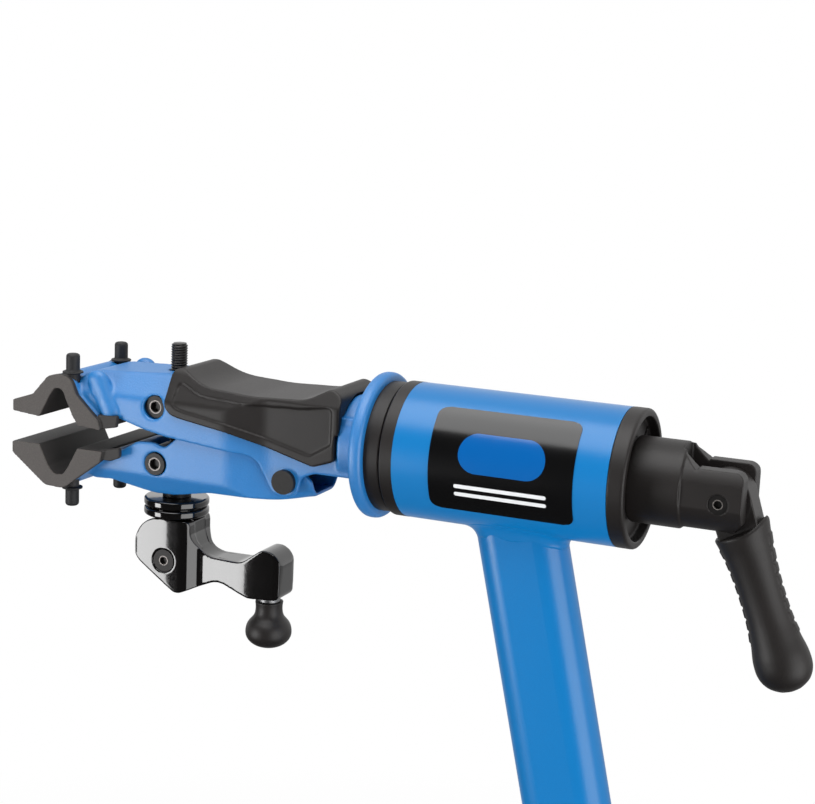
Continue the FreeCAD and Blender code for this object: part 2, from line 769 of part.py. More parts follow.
def jaw_trough(inset, rim=-10.0):
    """Outer outline of the lower cover, sunk by inset and open at the rim's level."""
    return [(-303.6 + inset, rim, 0), (-303.6 + inset, -26.2 + inset, 1.5), (-284.6, -43.4 + inset, 8),
            (-271.5, -43.6 + inset, 8), (-262.5, -36.5 + inset, 5), (-248.4 - inset, -24.6 + inset, 2),
            (-248.4 - inset, rim, 0)]


def jaw_side_outline():
    return [(-116.2, -24, 3), (-116.2, -36, 2.5), (-181, -37.3, 30), (-206, -42.6, 10), (-219, -43.4, 10),
            (-247, -37.4, 8), (-262, -38.5, 4), (-262, -30, 2), (-249, -18.6, 3), (-238, -18.2, 5),
            (-227, -11.4, 6), (-216, -10.8, 5), (-209, -13.4, 5), (-199.5, -5.0, 4), (-194, -2.6, 5),
            (-155, -4, 10), (pivot_x - 5, pivot_z + 11, 8), (pivot_x + 6, pivot_z + 11, 7)]


def sleeve_slot():
    """Way for the sleeve through the jaw's floor, long enough for the jaw's tilt."""
    radius = sleeve_radius + 2.4
    round_end = cylinder_z(rod_x - jaw_swing_slot, 0, -far, 0, radius)
    middle = block(rod_x - jaw_swing_slot, rod_x, -radius, radius, -far, 0)
    return cylinder_z(rod_x, 0, -far, 0, radius).fuse([round_end, middle])


def lower_jaw():
    slim = jaw_half_width_slim()
    wide = jaw_half_width_wide()
    side = prism("xz", jaw_side_outline(), -far, far)
    plan = prism("xy", waisted_plan(slim, wide, -262, -116.2), -far, far)
    bevel = 9.0
    section = [(-wide, 10, 0), (wide, 10, 0), (wide, -31, 6), (wide - bevel, -44, 8),
               (-wide + bevel, -44, 8), (-wide, -31, 6)]
    body = side.common(plan).common(prism("yz", section, -262, -100))
    saddle = prism("xz", jaw_trough(0.4, -19.6), -saddle_half_width, saddle_half_width)
    jaw = body.fuse(saddle).removeSplitter()
    wall = 3.4
    cavity_plan = waisted_plan(slim - wall, wide - wall, -240, -100)
    cavity_side = [(-100, 20, 0), (-100, -32.6, 2), (-181, -33.8, 30), (-206, -38.9, 10), (-219, -39.8, 10),
                   (-240, -34.5, 6), (-240, 20, 0)]
    cavity_section = [(-wide + wall, 10, 0), (wide - wall, 10, 0), (wide - wall, -34, 4),
                      (wide - wall - 5, -41.5, 5), (-wide + wall + 5, -41.5, 5), (-wide + wall, -34, 4)]
    cavity = prism("xy", cavity_plan, -far, 40).common(prism("xz", cavity_side, -far, far))
    jaw = jaw.cut(cavity.common(prism("yz", cavity_section, -262, -90)))
    jaw = jaw.cut(prism("xz", lower_cover_seat(seat_gap), -far, far))
    jaw = jaw.cut(cylinder_y(rod_x, lower_dowel_z, screw_head_radius + seat_gap, -far, far))
    jaw = jaw.cut(cylinder_y(pivot_x, pivot_z, pivot_pin_radius + running_fit, -far, far))
    jaw = jaw.cut(sleeve_slot())
    for sign in (-1, 1):
        jaw = jaw.cut(cylinder_z(nub_x, sign * nub_y, -far, 0, nub_radius))
    return in_head(jaw)


# Rubber jaw covers, each with two nubs pulled through the casting
def cover_nub(sign, base, up):
    low = base - 8 * up
    z_low, z_high = sorted((low, base + nub_height * up))
    nub = cylinder_z(nub_x, sign * nub_y, z_low, z_high, nub_radius)
    tip_edges = [e for e in nub.Edges if abs(e.BoundBox.Center.z - (base + nub_height * up)) < 0.01]
    nub = nub.makeFillet(1.8, tip_edges)
    f_low, f_high = sorted((base + seat_gap * up, base + (seat_gap + 1.2) * up))
    return nub.fuse(cylinder_z(nub_x, sign * nub_y, f_low, f_high, nub_flange_radius))


def jaw_cover(full, seat, groove, hooks, base, up):
    """End flanges of the full outline, a thinner middle in the casting's seat, and two nubs."""
    middle_half = saddle_half_width + seat_gap
    envelope = prism("xz", full, -cover_half_width, cover_half_width)
    middle = envelope.common(prism("xz", seat, -middle_half, middle_half))
    pieces = []
    for sign in (-1, 1):
        low, high = sorted((sign * middle_half, sign * cover_half_width))
        pieces.append(prism("xz", full, low, high))
        hook_low, hook_high = sorted((sign * (arm_half_width_wide + hook_room),
                                      sign * (cover_half_width - hook_set_back)))
        for hook in hooks:
            pieces.append(prism("xz", hook, hook_low, hook_high))
    cover = middle.fuse(pieces).cut(prism("xz", groove, -far, far))
    for sign in (-1, 1):
        cover = cover.fuse(cover_nub(sign, base, up))
    return in_head(cover.removeSplitter())


def upper_jaw_cover():
    full = jaw_arch(0)
    full[0] = (-307.4, -0.6, 0.8)
    full[1] = (-307.4, 6.2, 0.8)
    full[-2] = (-248.0, -0.4, 1)
    full[-1] = (-246.6, -5.8, 0.8)
    groove = [(-304, -20, 0), (-288.1, -0.9, 2), (-281.5, 11.5, 5), (-278, 16.2, 3.5), (-273.2, 16.2, 3.5),
              (-266.2, 1.4, 5), (-262.5, -4.0, 2), (-245, -20, 0)]
    hooks = [[(-249.5, -5.8, 0), (-236.9, -3.2, 0.8), (-236.4, 3.6, 0.8), (-249.5, 3.0, 0)]]
    return jaw_cover(full, upper_cover_seat(0), groove, hooks, 24.5, 1)


def lower_jaw_cover():
    full = jaw_trough(0, -18.6)
    full[0] = (-307.8, -19.0, 0.8)
    full[1] = (-307.8, -26.0, 0.8)
    full[-2] = (-246.6, -24.6, 2)
    full[-1] = (-245.2, -18.2, 0.8)
    groove = [(-310, 5, 0), (-293, -16, 0), (-288.8, -18.8, 2), (-282.6, -31.0, 5), (-278.6, -35.6, 3.5),
              (-272.2, -35.4, 3.5), (-268.4, -29.5, 5), (-262.4, -18.5, 2), (-258, -14, 0), (-250, 5, 0)]
    hooks = [[(-248.5, -23.8, 0), (-240.5, -23.6, 0.8), (-234.7, -21.2, 0.8), (-234.7, -15.0, 0.8),
              (-248.5, -18.3, 0)]]
    return jaw_cover(full, lower_cover_seat(0), groove, hooks, -43.6, -1)


# Cradle draped over the arm between the rod and the flange
def cradle_section(inset):
    """Cross-section of the cradle, which leans in over the arm's sloping roof."""
    return roof_section(arm_half_width_wide + 2.6 - inset, 15, 20 - inset * 0.5, 36 - inset)


def cradle(arm):
    outer_side = [(-96.5, -5, 3), (-96.5, 29, 5), (-104, 33, 5), (-118, 25.5, 25), (-152, 24, 90),
                  (-184, 26, 40), (-199, 34.2, 5), (-205.8, 33.6, 4), (-206.2, 9, 9), (-195, 6.6, 10),
                  (-167, 2.4, 30), (-112, -12, 6), (-101, -8, 4)]
    side = prism("xz", outer_side, -far, far)
    slim = arm_half_width_slim + 4
    wide = arm_half_width_wide + 2.6
    plan = prism("xy", waisted_plan(slim, wide, -208, -96), -far, far)
    cover = side.common(plan).common(prism("yz", cradle_section(0), -far * 4, 0))
    inner_side = [(-far, -far, 0), (-far, 17.5 + seat_gap, 0), (-192, 19.5 + seat_gap, 10),
                  (-204, 22.5 + seat_gap, 3), (-204, 30, 1), (-220, 30, 0), (-220, -far, 0)]
    inner_plan = waisted_plan(arm_half_width_slim + seat_gap, arm_half_width_wide + seat_gap, -220, -far)
    inner = prism("xz", inner_side, -far, far).common(prism("xy", inner_plan, -far, far))
    inner = inner.common(prism("yz", arm_section(-seat_gap), -far * 4, 0))
    cover = cover.cut(inner).cut(arm)
    cover = cover.cut(cylinder_x(-99, -80, hub_radius + 1))
    panel = [(-101, 2, 4), (-101, 24, 4), (-118, 21, 20), (-152, 19.5, 60), (-184, 21, 30), (-200, 28, 3),
             (-201.4, 13.4, 5), (-193, 11, 8), (-167, 7, 30), (-114, -6, 5)]
    recess = 0.9
    for sign in (-1, 1):
        skin = prism("xy", waisted_plan(slim - recess, wide - recess, -220, -far), -far, far)
        skin = skin.common(prism("yz", cradle_section(recess), -far * 4, 0))
        band = prism("xz", panel, min(0, sign * far), max(0, sign * far)).cut(skin)
        cover = cover.cut(band)
    return in_head(cover)


# Cross dowels with a screw in each end
def dowel(z, radius, half, hole):
    bar = cylinder_y(rod_x, z, radius, -half, half)
    bar = bar.cut(cylinder_z(rod_x, 0, z - 2 * radius, z + 2 * radius, hole))
    for sign in (-1, 1):
        low, high = sorted((sign * half, sign * (half - 10)))
        bar = bar.cut(cylinder_y(rod_x, z, screw_shank_radius, low, high))
    return in_head(bar)


def dowel_screws(z, half):
    screws = []
    for sign in (-1, 1):
        screws.append(socket_screw(rod_x, z, sign, sign * half, screw_head_radius, screw_head_height,
                                   screw_shank_radius, 10, screw_socket_radius))
    return in_head(Part.Compound(screws))


def upper_dowel_half():
    return arm_half_width_wide - arm_wall - swing_gap - dowel_end_room


def lower_dowel_half():
    return jaw_half_width_wide() - 3.4 - swing_gap


# Threaded rod, thrust sleeve and adjusting discs
def clamp_rod():
    bottom = cam_pivot_z
    rod = cylinder_z(rod_x, 0, bottom, rod_top, rod_radius)
    tip = [e for e in rod.Edges if abs(e.BoundBox.Center.z - rod_top) < 0.01]
    rod = rod.makeChamfer(0.8, tip)
    eye = cylinder_y(cam_pivot_x, cam_pivot_z, rod_eye_radius, -cam_slot_half_width + 0.4, cam_slot_half_width - 0.4)
    rod = rod.fuse(eye)
    return in_head(rod.cut(cylinder_y(cam_pivot_x, cam_pivot_z, cam_bolt_radius + running_fit, -20, 20)))


def thrust_sleeve():
    top = lower_dowel_z - lower_dowel_radius - seat_gap
    low = disc_top + seat_gap
    tube = cylinder_z(rod_x, 0, low, top, sleeve_radius)
    return in_head(tube.cut(cylinder_z(rod_x, 0, low, top, rod_radius + running_fit)))


def adjusting_disc(top, hub_radius):
    disc = cylinder_z(rod_x, 0, top - disc_thickness, top, disc_radius)
    rims = [e for e in disc.Edges if abs(e.Length - math.tau * disc_radius) < 0.1]
    disc = disc.makeFillet(disc_round, rims)
    spacer = cylinder_z(rod_x, 0, top - disc_thickness - disc_gap, top, hub_radius)
    return in_head(disc.fuse(spacer).cut(cylinder_z(rod_x, 0, -100, 0, rod_radius)))


# Cam lever, its bolt and the crank knob
def cam_lever_outline():
    return [(-235, cam_top, 17), (-234.6, -85, 8), (-206, -104.2, 6), (-181, -93.4, 14), (-160.5, -100.8, 12),
            (-140, -99.6, 4), (-138.8, -70.6, 10), (-152, -70.2, 6), (-165, -79.8, 12), (-198.2, -79.8, 15),
            (-198.2, cam_top, 3)]


def cam_lever():
    side = prism("xz", cam_lever_outline(), -30, 30)
    end_half = 10.5
    plan = [(-250, -cam_half_width, 0), (-250, cam_half_width, 0), (-190, cam_half_width, 20),
            (-170, end_half, 20), (-138.8, end_half, 6), (-138.8, -end_half, 6), (-170, -end_half, 20),
            (-190, -cam_half_width, 20)]
    lever = side.common(prism("xy", plan, -130, -40))
    lever = lever.cut(block(-260, cam_pivot_x + cam_throat, -cam_slot_half_width, cam_slot_half_width,
                            cam_pivot_z - 13, -40))
    lever = lever.cut(cylinder_y(cam_pivot_x, cam_pivot_z, cam_bolt_radius + running_fit, -30, 30))
    for sign in (-1, 1):
        low, high = sorted((sign * (cam_half_width - 3), sign * 30))
        lever = lever.cut(cylinder_y(cam_pivot_x, cam_pivot_z, cam_bolt_head_radius + seat_gap, low, high))
    return in_head(lever)


def cam_bolt():
    seat = cam_half_width - 3
    bolt = socket_screw(cam_pivot_x, cam_pivot_z, -1, -seat, cam_bolt_head_radius, 2.6, cam_bolt_radius,
                        2 * seat, 2.6)
    nut = cylinder_y(cam_pivot_x, cam_pivot_z, cam_bolt_head_radius, seat, seat + 2.4)
    return in_head(bolt.fuse(nut))


def crank_knob():
    waist = knob_neck_radius
    profile = [(0, 0), (0, waist), (5, waist - 0.4), (9, waist + 0.6), (13, knob_radius - 1.4),
               (17, knob_radius), (21, knob_radius - 0.2), (25, knob_radius - 3), (27.4, 6), (28, 0)]
    scale = (knob_top - knob_bottom) / 28.0
    spline_points = [Vector(knob_x + r, 0, knob_top - s * scale) for s, r in profile[1:]]
    curve = Part.BSplineCurve()
    curve.interpolate(spline_points)
    edges = [Part.LineSegment(Vector(knob_x, 0, knob_top), spline_points[0]).toShape(), curve.toShape(),
             Part.LineSegment(spline_points[-1], Vector(knob_x, 0, knob_top)).toShape()]
    knob = Part.Face(Part.Wire(edges)).revolve(Vector(knob_x, 0, 0), Z_AXIS, 360)
    return in_head(knob.cut(cylinder_z(knob_x, 0, knob_top - 12, knob_top + 1, 3 + running_fit)))


def knob_stud():
    collar = cylinder_z(knob_x, 0, knob_top + seat_gap, knob_top + 3.4, 6.5)
    pin = cylinder_z(knob_x, 0, knob_top - 11.5, knob_top + 3.4, 3)
    return in_head(collar.fuse(pin).cut(in_head_local(cam_lever())))


def in_head_local(shape):
    placed = shape.copy()
    placed.translate(head_origin * -1)
    return placed


# Turning handle: clevis, bolt, tongue and moulded grip
def clevis():
    body = cylinder_x(clevis_left, clevis_cut_x, clevis_radius)
    body = round_edges(body, 1.2, circle_edge_at("x", clevis_left, clevis_radius))
    bar = cylinder_x(clevis_cut_x - 30, clevis_right, clevis_radius - 0.9)
    ears = prism("xz", [(clevis_left + 10, -30, 0), (clevis_right, -30, 0), (clevis_right, -22.5, 0),
                        (clevis_right, clevis_cut_z, 5), (clevis_cut_x + 6, clevis_cut_z, 3),
                        (clevis_cut_x - 5, clevis_radius + 1, 0), (clevis_left + 10, clevis_radius + 1, 0)],
                 -clevis_flat_y, clevis_flat_y)
    ears = ears.common(bar)
    trim = prism("xz", [(clevis_right - 9, -24, 0), (clevis_right + 5, -24, 0), (clevis_right + 5, -8, 0)],
                 -40, 40)
    ears = ears.cut(trim)
    wedge = prism("xz", [(clevis_cut_x - 4, clevis_radius + 2, 0), (clevis_cut_x + 8, clevis_cut_z - 2, 0),
                         (clevis_cut_x + 8, clevis_radius + 2, 0)], -40, 40)
    whole = body.fuse(ears).cut(wedge)
    slot_left = clevis_right - clevis_slot_depth
    whole = whole.cut(block(slot_left, clevis_right + 1, -clevis_slot, clevis_slot, -40, 40))
    whole = whole.cut(cylinder_y(handle_pivot_x, handle_pivot_z, handle_bolt_radius, -far, far))
    for sign in (-1, 1):
        low, high = sorted((sign * (clevis_flat_y - 4), sign * far))
        whole = whole.cut(cylinder_y(handle_pivot_x, handle_pivot_z, handle_bolt_head_radius, low, high))
    return in_head(whole.cut(cylinder_x(0, clevis_left + 22, draw_bolt_radius)))


def handle_bolt():
    seat = clevis_flat_y - 4
    bolt = socket_screw(handle_pivot_x, handle_pivot_z, -1, -seat, handle_bolt_head_radius, 3.4,
                        handle_bolt_radius, 2 * seat, 2.4)
    nut = cylinder_y(handle_pivot_x, handle_pivot_z, handle_bolt_head_radius, seat, seat + 3)
    return in_head(bolt.fuse(nut))


def handle_frame():
    """Pivot point, direction down the grip and direction across it."""
    angle = math.radians(handle_tilt)
    pivot = Vector(handle_pivot_x, 0, handle_pivot_z)
    return pivot, Vector(math.sin(angle), 0, -math.cos(angle)), Vector(math.cos(angle), 0, math.sin(angle))


def handle_point(s, t):
    pivot, down, across = handle_frame()
    place = pivot + down * s + across * t
    return place.x, place.z


def handle_tongue():
    eye = cylinder_y(handle_pivot_x, handle_pivot_z, tongue_radius, -tongue_half_width, tongue_half_width)
    corners = [(*handle_point(0, -9), 0), (*handle_point(0, tongue_radius), 0), (*handle_point(24, 13), 3),
               (*handle_point(60, 8), 3), (*handle_point(60, -4), 3), (*handle_point(24, -9), 3)]
    blade = prism("xz", corners, -tongue_half_width + 0.2, tongue_half_width - 0.2)
    tongue = eye.fuse(blade).removeSplitter()
    return in_head(tongue.cut(cylinder_y(handle_pivot_x, handle_pivot_z, handle_bolt_radius + running_fit, -30, 30)))


def grip_profile():
    """Half width of the grip at each distance down from the pivot."""
    return [(20, 15.4), (24, 14.8), (31, 13.2), (42, 12.1), (55, 11.6), (69, 11.9), (80, 13.5),
            (89, 15.3), (97, 15.0), (103, 11.8), (106.8, 6.0)]


def handle_grip():
    pivot, down, across = handle_frame()
    points = [pivot + down * s + across * (grip_offset + half) for s, half in grip_profile()]
    end = pivot + down * 108.2 + across * grip_offset
    top = pivot + down * grip_profile()[0][0] + across * grip_offset
    curve = Part.BSplineCurve()
    curve.interpolate(points + [end])
    wire = Part.Wire([Part.LineSegment(top, points[0]).toShape(), curve.toShape(),
                      Part.LineSegment(end, top).toShape()])
    grip = Part.Face(wire).revolve(top, down, 360)
    flatten = FreeCAD.Matrix()
    flatten.scale(1, grip_flatness, 1)
    grip = grip.transformGeometry(flatten)
    for index in range(grip_rib_count):
        s = grip_rib_start + index * grip_rib_pitch
        for sign in (-1, 1):
            reach = grip_offset + sign * (grip_half_at(s) + 1.0)
            inner = grip_offset + sign * 4
            corners = [(*handle_point(s - 2.4, inner), 0), (*handle_point(s + 2.4, inner), 0),
                       (*handle_point(s + 2.4, reach), 0.8), (*handle_point(s - 2.4, reach), 0.8)]
            grip = grip.fuse(prism("xz", corners, -4.2, 4.2))
    pocket = in_head_local(handle_tongue())
    return in_head(grip.cut(pocket))


def grip_half_at(s):
    profile = grip_profile()
    for (s0, r0), (s1, r1) in zip(profile, profile[1:]):
        if s0 <= s <= s1:
            return r0 + (r1 - r0) * (s - s0) / (s1 - s0)
    return profile[-1][1]


def save(name, shape):
    shape.exportStep("parts/" + name + ".step")


def main():
    os.makedirs("parts", exist_ok=True)
    save("rear_crossbar", rear_crossbar())
    save("rear_feet", foot_caps(foot_reach, rear_span))
    save("lower_mast", lower_mast())
    save("collar_liner", collar_liner())
    save("collar_clamp", collar_clamp())
    save("collar_bolt", collar_bolt())
    save("collar_cam_pin", collar_cam_pin())
    save("collar_nut", collar_nut())
    save("collar_lever", collar_lever())
    save("leg_bracket_plates", leg_bracket_plates())
    save("bracket_bolts", bracket_bolts())
    save("bracket_spacers", bracket_spacers())
    save("leg_stop_block", leg_stop_block())
    save("leg_hinge_bolt", leg_hinge_bolt())
    save("leg_washers", leg_washers())
    save("leg_knob", leg_knob())
    save("front_leg", front_leg())
    save("front_crossbar", crossbar(-front_reach, front_span))
    save("front_feet", foot_caps(-front_reach, front_span))
    save("upper_mast", upper_mast())
    save("mast_glide", mast_glide())
    save("head_barrel", head_barrel())
    save("mast_weld", mast_weld())
    save("front_ring", front_ring())
    save("rear_cap", rear_cap())
    save("label_plate", label_plate())
    save("spindle", spindle())
    save("clutch_ring", clutch_ring())
    save("draw_bolt", draw_bolt())
    save("thrust_washer", thrust_washer())
    arm = clamp_arm()
    save("clamp_arm", in_head(arm))
    save("jaw_pivot_pin", jaw_pivot_pin())
    save("pivot_clip", pivot_clip())
    save("lower_jaw", lower_jaw())
    save("upper_jaw_cover", upper_jaw_cover())
    save("lower_jaw_cover", lower_jaw_cover())
    save("cradle", cradle(arm))
    save("upper_dowel", dowel(upper_dowel_z, dowel_radius, upper_dowel_half(), rod_radius + running_fit))
    save("upper_dowel_screws", dowel_screws(upper_dowel_z, upper_dowel_half()))
    save("lower_dowel", dowel(lower_dowel_z, lower_dowel_radius, lower_dowel_half(), rod_swing_radius))
    save("lower_dowel_screws", dowel_screws(lower_dowel_z, lower_dowel_half()))
    save("clamp_rod", clamp_rod())
    save("thrust_sleeve", thrust_sleeve())
    save("upper_disc", adjusting_disc(disc_top, disc_radius - 3.5))
    save("lower_disc", adjusting_disc(disc_top - disc_thickness - disc_gap, cam_hub_radius))
    save("cam_lever", cam_lever())
    save("cam_bolt", cam_bolt())
    save("crank_knob", crank_knob())
    save("knob_stud", knob_stud())
    save("clevis", clevis())
    save("handle_bolt", handle_bolt())
    save("handle_tongue", handle_tongue())
    save("handle_grip", handle_grip())


main()
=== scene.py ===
import math

import bmesh
import bpy
from mathutils import Matrix, Vector


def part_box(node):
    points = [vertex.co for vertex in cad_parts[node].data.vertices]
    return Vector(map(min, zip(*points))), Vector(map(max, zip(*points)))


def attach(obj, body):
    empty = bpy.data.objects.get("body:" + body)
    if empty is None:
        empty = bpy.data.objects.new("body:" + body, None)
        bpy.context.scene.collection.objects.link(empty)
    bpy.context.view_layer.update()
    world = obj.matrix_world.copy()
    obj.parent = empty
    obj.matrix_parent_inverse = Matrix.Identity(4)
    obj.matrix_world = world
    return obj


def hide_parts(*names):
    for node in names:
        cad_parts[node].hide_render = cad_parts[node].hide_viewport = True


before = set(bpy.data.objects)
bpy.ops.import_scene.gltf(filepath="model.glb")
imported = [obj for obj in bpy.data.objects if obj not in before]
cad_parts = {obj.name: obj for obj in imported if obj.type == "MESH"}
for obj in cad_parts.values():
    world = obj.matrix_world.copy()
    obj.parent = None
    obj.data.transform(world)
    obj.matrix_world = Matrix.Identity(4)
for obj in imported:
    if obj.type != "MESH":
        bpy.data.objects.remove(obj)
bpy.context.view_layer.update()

# The place of the turning head: the middle of the barrel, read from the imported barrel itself.
# Every place on the head is written in millimetres from here, as it was measured.
MM = 0.001
BARREL_LEFT = 59.8
barrel_low, barrel_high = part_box("head_barrel")
HEAD = Vector((barrel_low.x + BARREL_LEFT * MM, 0, (barrel_low.z + barrel_high.z) / 2))


def head_place(x, y, z):
    return HEAD + Vector((x, y, z)) * MM


# The view: a long lens at about a metre, a little above the barrel and to its right,
# as the product was photographed, with a slight roll of the camera.
PHOTO_WIDTH = 815
FOCAL_PIXELS = 1800
SENSOR = 36
camera_place = head_place(315.9, -913.1, 216.4)
camera_right = Vector((0.91814, 0.39408, 0.04142))
camera_up = Vector((-0.11185, 0.15746, 0.98117))
camera_back = camera_right.cross(camera_up).normalized()
camera_data = bpy.data.cameras.new("photo_view")
camera_data.sensor_width = SENSOR
camera_data.lens = FOCAL_PIXELS * SENSOR / PHOTO_WIDTH
camera_data.clip_start = 0.05
camera = bpy.data.objects.new("photo_view", camera_data)
camera.matrix_world = Matrix((
    (camera_right.x, camera_up.x, camera_back.x, camera_place.x),
    (camera_right.y, camera_up.y, camera_back.y, camera_place.y),
    (camera_right.z, camera_up.z, camera_back.z, camera_place.z),
    (0, 0, 0, 1)))
bpy.context.scene.collection.objects.link(camera)
bpy.context.scene.camera = camera
bpy.context.scene.view_settings.view_transform = "Standard"


# Blue powder coat: the barrel, both masts, the leg and their weld.
# It is sprayed on as powder and baked, which leaves a fine orange peel under a soft gloss.
class Socket:
    """One output of a node tree. Sums on sockets are written as plain expressions."""

    def __init__(self, shader, link):
        self.shader = shader
        self.link = link

    def sum(self, kind, *others):
        values = {number: other for number, other in enumerate((self,) + others)}
        return self.shader.node("ShaderNodeMath", {"operation": kind}, values)

    def __add__(self, other):
        return self.sum("ADD", other)

    def __radd__(self, other):
        return self.sum("ADD", other)

    def __mul__(self, other):
        return self.sum("MULTIPLY", other)

    def __rmul__(self, other):
        return self.sum("MULTIPLY", other)

    def __sub__(self, other):
        return self.sum("SUBTRACT", other)

    def __rsub__(self, other):
        return self.shader.node("ShaderNodeMath", {"operation": "SUBTRACT"}, {0: other, 1: self})

    def output(self, name):
        """Another output of the same node."""
        return Socket(self.shader, self.link.node.outputs[name])

    def above(self, level):
        return self.sum("GREATER_THAN", level)

    def below(self, level):
        return self.sum("LESS_THAN", level)


class Finish:
    """One surface finish: a Principled shader and the nodes that vary over the surface."""

    def __init__(self, name):
        self.material = bpy.data.materials.new(name)
        self.material.use_nodes = True
        self.tree = self.material.node_tree
        self.surface = self.tree.nodes["Principled BSDF"]

    def node(self, kind, settings=None, values=None, output=0):
        made = self.tree.nodes.new(kind)
        for name, value in (settings or {}).items():
            setattr(made, name, value)
        for name, value in (values or {}).items():
            self.feed(made.inputs[name], value)
        return Socket(self, made.outputs[output])

    def feed(self, socket, value):
        if isinstance(value, Socket):
            self.tree.links.new(value.link, socket)
        else:
            socket.default_value = value

    def set(self, name, value):
        self.feed(self.surface.inputs[name], value)

    def place(self):
        return self.node("ShaderNodeTexCoord", output="Object")

    def grain(self, size, detail=2.0, roughness=0.5):
        """Noise whose lumps are about size metres across."""
        return self.node("ShaderNodeTexNoise", {}, {"Vector": self.place(), "Scale": 1 / size,
                                                    "Detail": detail, "Roughness": roughness})

    def blend(self, mask, low, high):
        return self.node("ShaderNodeMix", {"data_type": "RGBA"}, {0: mask, 6: low, 7: high}, output=2)

    def bump(self, height, distance, strength):
        self.set("Normal", self.node("ShaderNodeBump", {}, {"Height": height, "Distance": distance,
                                                           "Strength": strength}))


def paint(finish, *nodes):
    for name in nodes:
        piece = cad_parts[name]
        piece.data.materials.clear()
        piece.data.materials.append(finish.material)


def colour(red, green, blue):
    """Screen colour, 0 to 255, as the linear colour that a shader takes."""
    parts = [c / 255 for c in (red, green, blue)]
    linear = [p / 12.92 if p <= 0.04045 else ((p + 0.055) / 1.055) ** 2.4 for p in parts]
    return (*linear, 1.0)


PAINT_SHEEN = 0.45
powder = Finish("blue_powder_coat")
powder_peel = powder.grain(0.0012, 3.0)
powder_speck = powder.grain(0.0004, 1.0)
powder_wear = powder.grain(0.06, 3.0)
powder.set("Base Color", powder.blend(powder_speck, colour(0, 107, 172), colour(0, 116, 183)))
powder.set("Roughness", powder_peel * 0.1 + powder_wear * 0.06 + 0.23)
powder.bump(powder_peel, 0.00005, 0.25)
powder.set("Specular IOR Level", PAINT_SHEEN)
paint(powder, "head_barrel", "upper_mast", "lower_mast", "front_leg")


# Clamp arm and lower jaw: cast aluminium under the same blue coat, with a coarser skin. A raised
# strut runs down each side of the arm behind the front nub, built up from lumps.
def soften(name, body, finish, cell, passes, lumps=(), plates=()):
    """A fine even skin over the solid, relaxed a little, gives every edge the small soft radius
    that a mould or a coat of paint gives. It also grows over lumps, each (centre, half sizes), and
    over plates that stand in the middle plane, each (outline in millimetres from the barrel's
    middle, half thickness)."""
    shape = bmesh.new()
    shape.from_mesh(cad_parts[name].data)
    for centre, half_sizes in lumps:
        lump = bmesh.ops.create_icosphere(shape, subdivisions=3, radius=1)
        bmesh.ops.scale(shape, vec=half_sizes, verts=lump["verts"])
        bmesh.ops.translate(shape, vec=centre, verts=lump["verts"])
    for outline, half_thickness in plates:
        near = [shape.verts.new(head_place(x, -half_thickness, z)) for x, z in outline]
        far = [shape.verts.new(head_place(x, half_thickness, z)) for x, z in outline]
        plate_faces = [shape.faces.new(near), shape.faces.new(far[::-1])]
        for place in range(len(outline)):
            ahead = (place + 1) % len(outline)
            plate_faces.append(shape.faces.new((near[ahead], near[place], far[place], far[ahead])))
        bmesh.ops.recalc_face_normals(shape, faces=plate_faces)
        bmesh.ops.triangulate(shape, faces=plate_faces[:2])
    source = bpy.data.meshes.new("soft_" + name)
    shape.to_mesh(source)
    shape.free()
    piece = bpy.data.objects.new("soft_" + name, source)
    bpy.context.scene.collection.objects.link(piece)
    skin = piece.modifiers.new("skin", "REMESH")
    skin.mode = "VOXEL"
    skin.voxel_size = cell
    relax = piece.modifiers.new("relax", "SMOOTH")
    relax.factor = 0.5
    relax.iterations = passes
    graph = bpy.context.evaluated_depsgraph_get()
    mesh = bpy.data.meshes.new_from_object(piece.evaluated_get(graph))
    piece.modifiers.clear()
    piece.data = mesh
    mesh.materials.clear()
    mesh.materials.append(finish.material)
    mesh.shade_smooth()
    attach(piece, body)
    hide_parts(name)
    return piece


CAST_CELL = 0.0008
CAST_PASSES = 9
cast = Finish("blue_cast_coat")
cast_skin = cast.grain(0.0013, 4.0, 0.65)
cast_speck = cast.grain(0.0006, 2.0)
cast.set("Base Color", cast.blend(cast_speck, colour(0, 104, 172), colour(16, 118, 188)))
cast.set("Roughness", cast_skin * 0.2 + 0.36)
cast.bump(cast_skin, 0.00022, 0.7)
cast.set("Specular IOR Level", 0.95)
STRUT_TOP = Vector((-253.5, 26.5, 23))
STRUT_FOOT = Vector((-243.5, 29, 5.5))
STRUT_TOP_SIZE = Vector((7.0, 4.4, 5.5))
STRUT_FOOT_SIZE = Vector((6.0, 3.8, 5.5))
STRUT_LUMPS = 16
strut_lumps = []
for side in (-1, 1):
    for step in range(STRUT_LUMPS):
        share = step / (STRUT_LUMPS - 1)
        middle = STRUT_TOP + (STRUT_FOOT - STRUT_TOP) * share
        size = STRUT_TOP_SIZE + (STRUT_FOOT_SIZE - STRUT_TOP_SIZE) * share
        strut_lumps.append((head_place(middle.x, side * middle.y, middle.z), size * MM))
soften("clamp_arm", "clamp_head", cast, CAST_CELL, CAST_PASSES, strut_lumps)
jaw_piece = soften("lower_jaw", "lower_jaw", cast, CAST_CELL, CAST_PASSES)

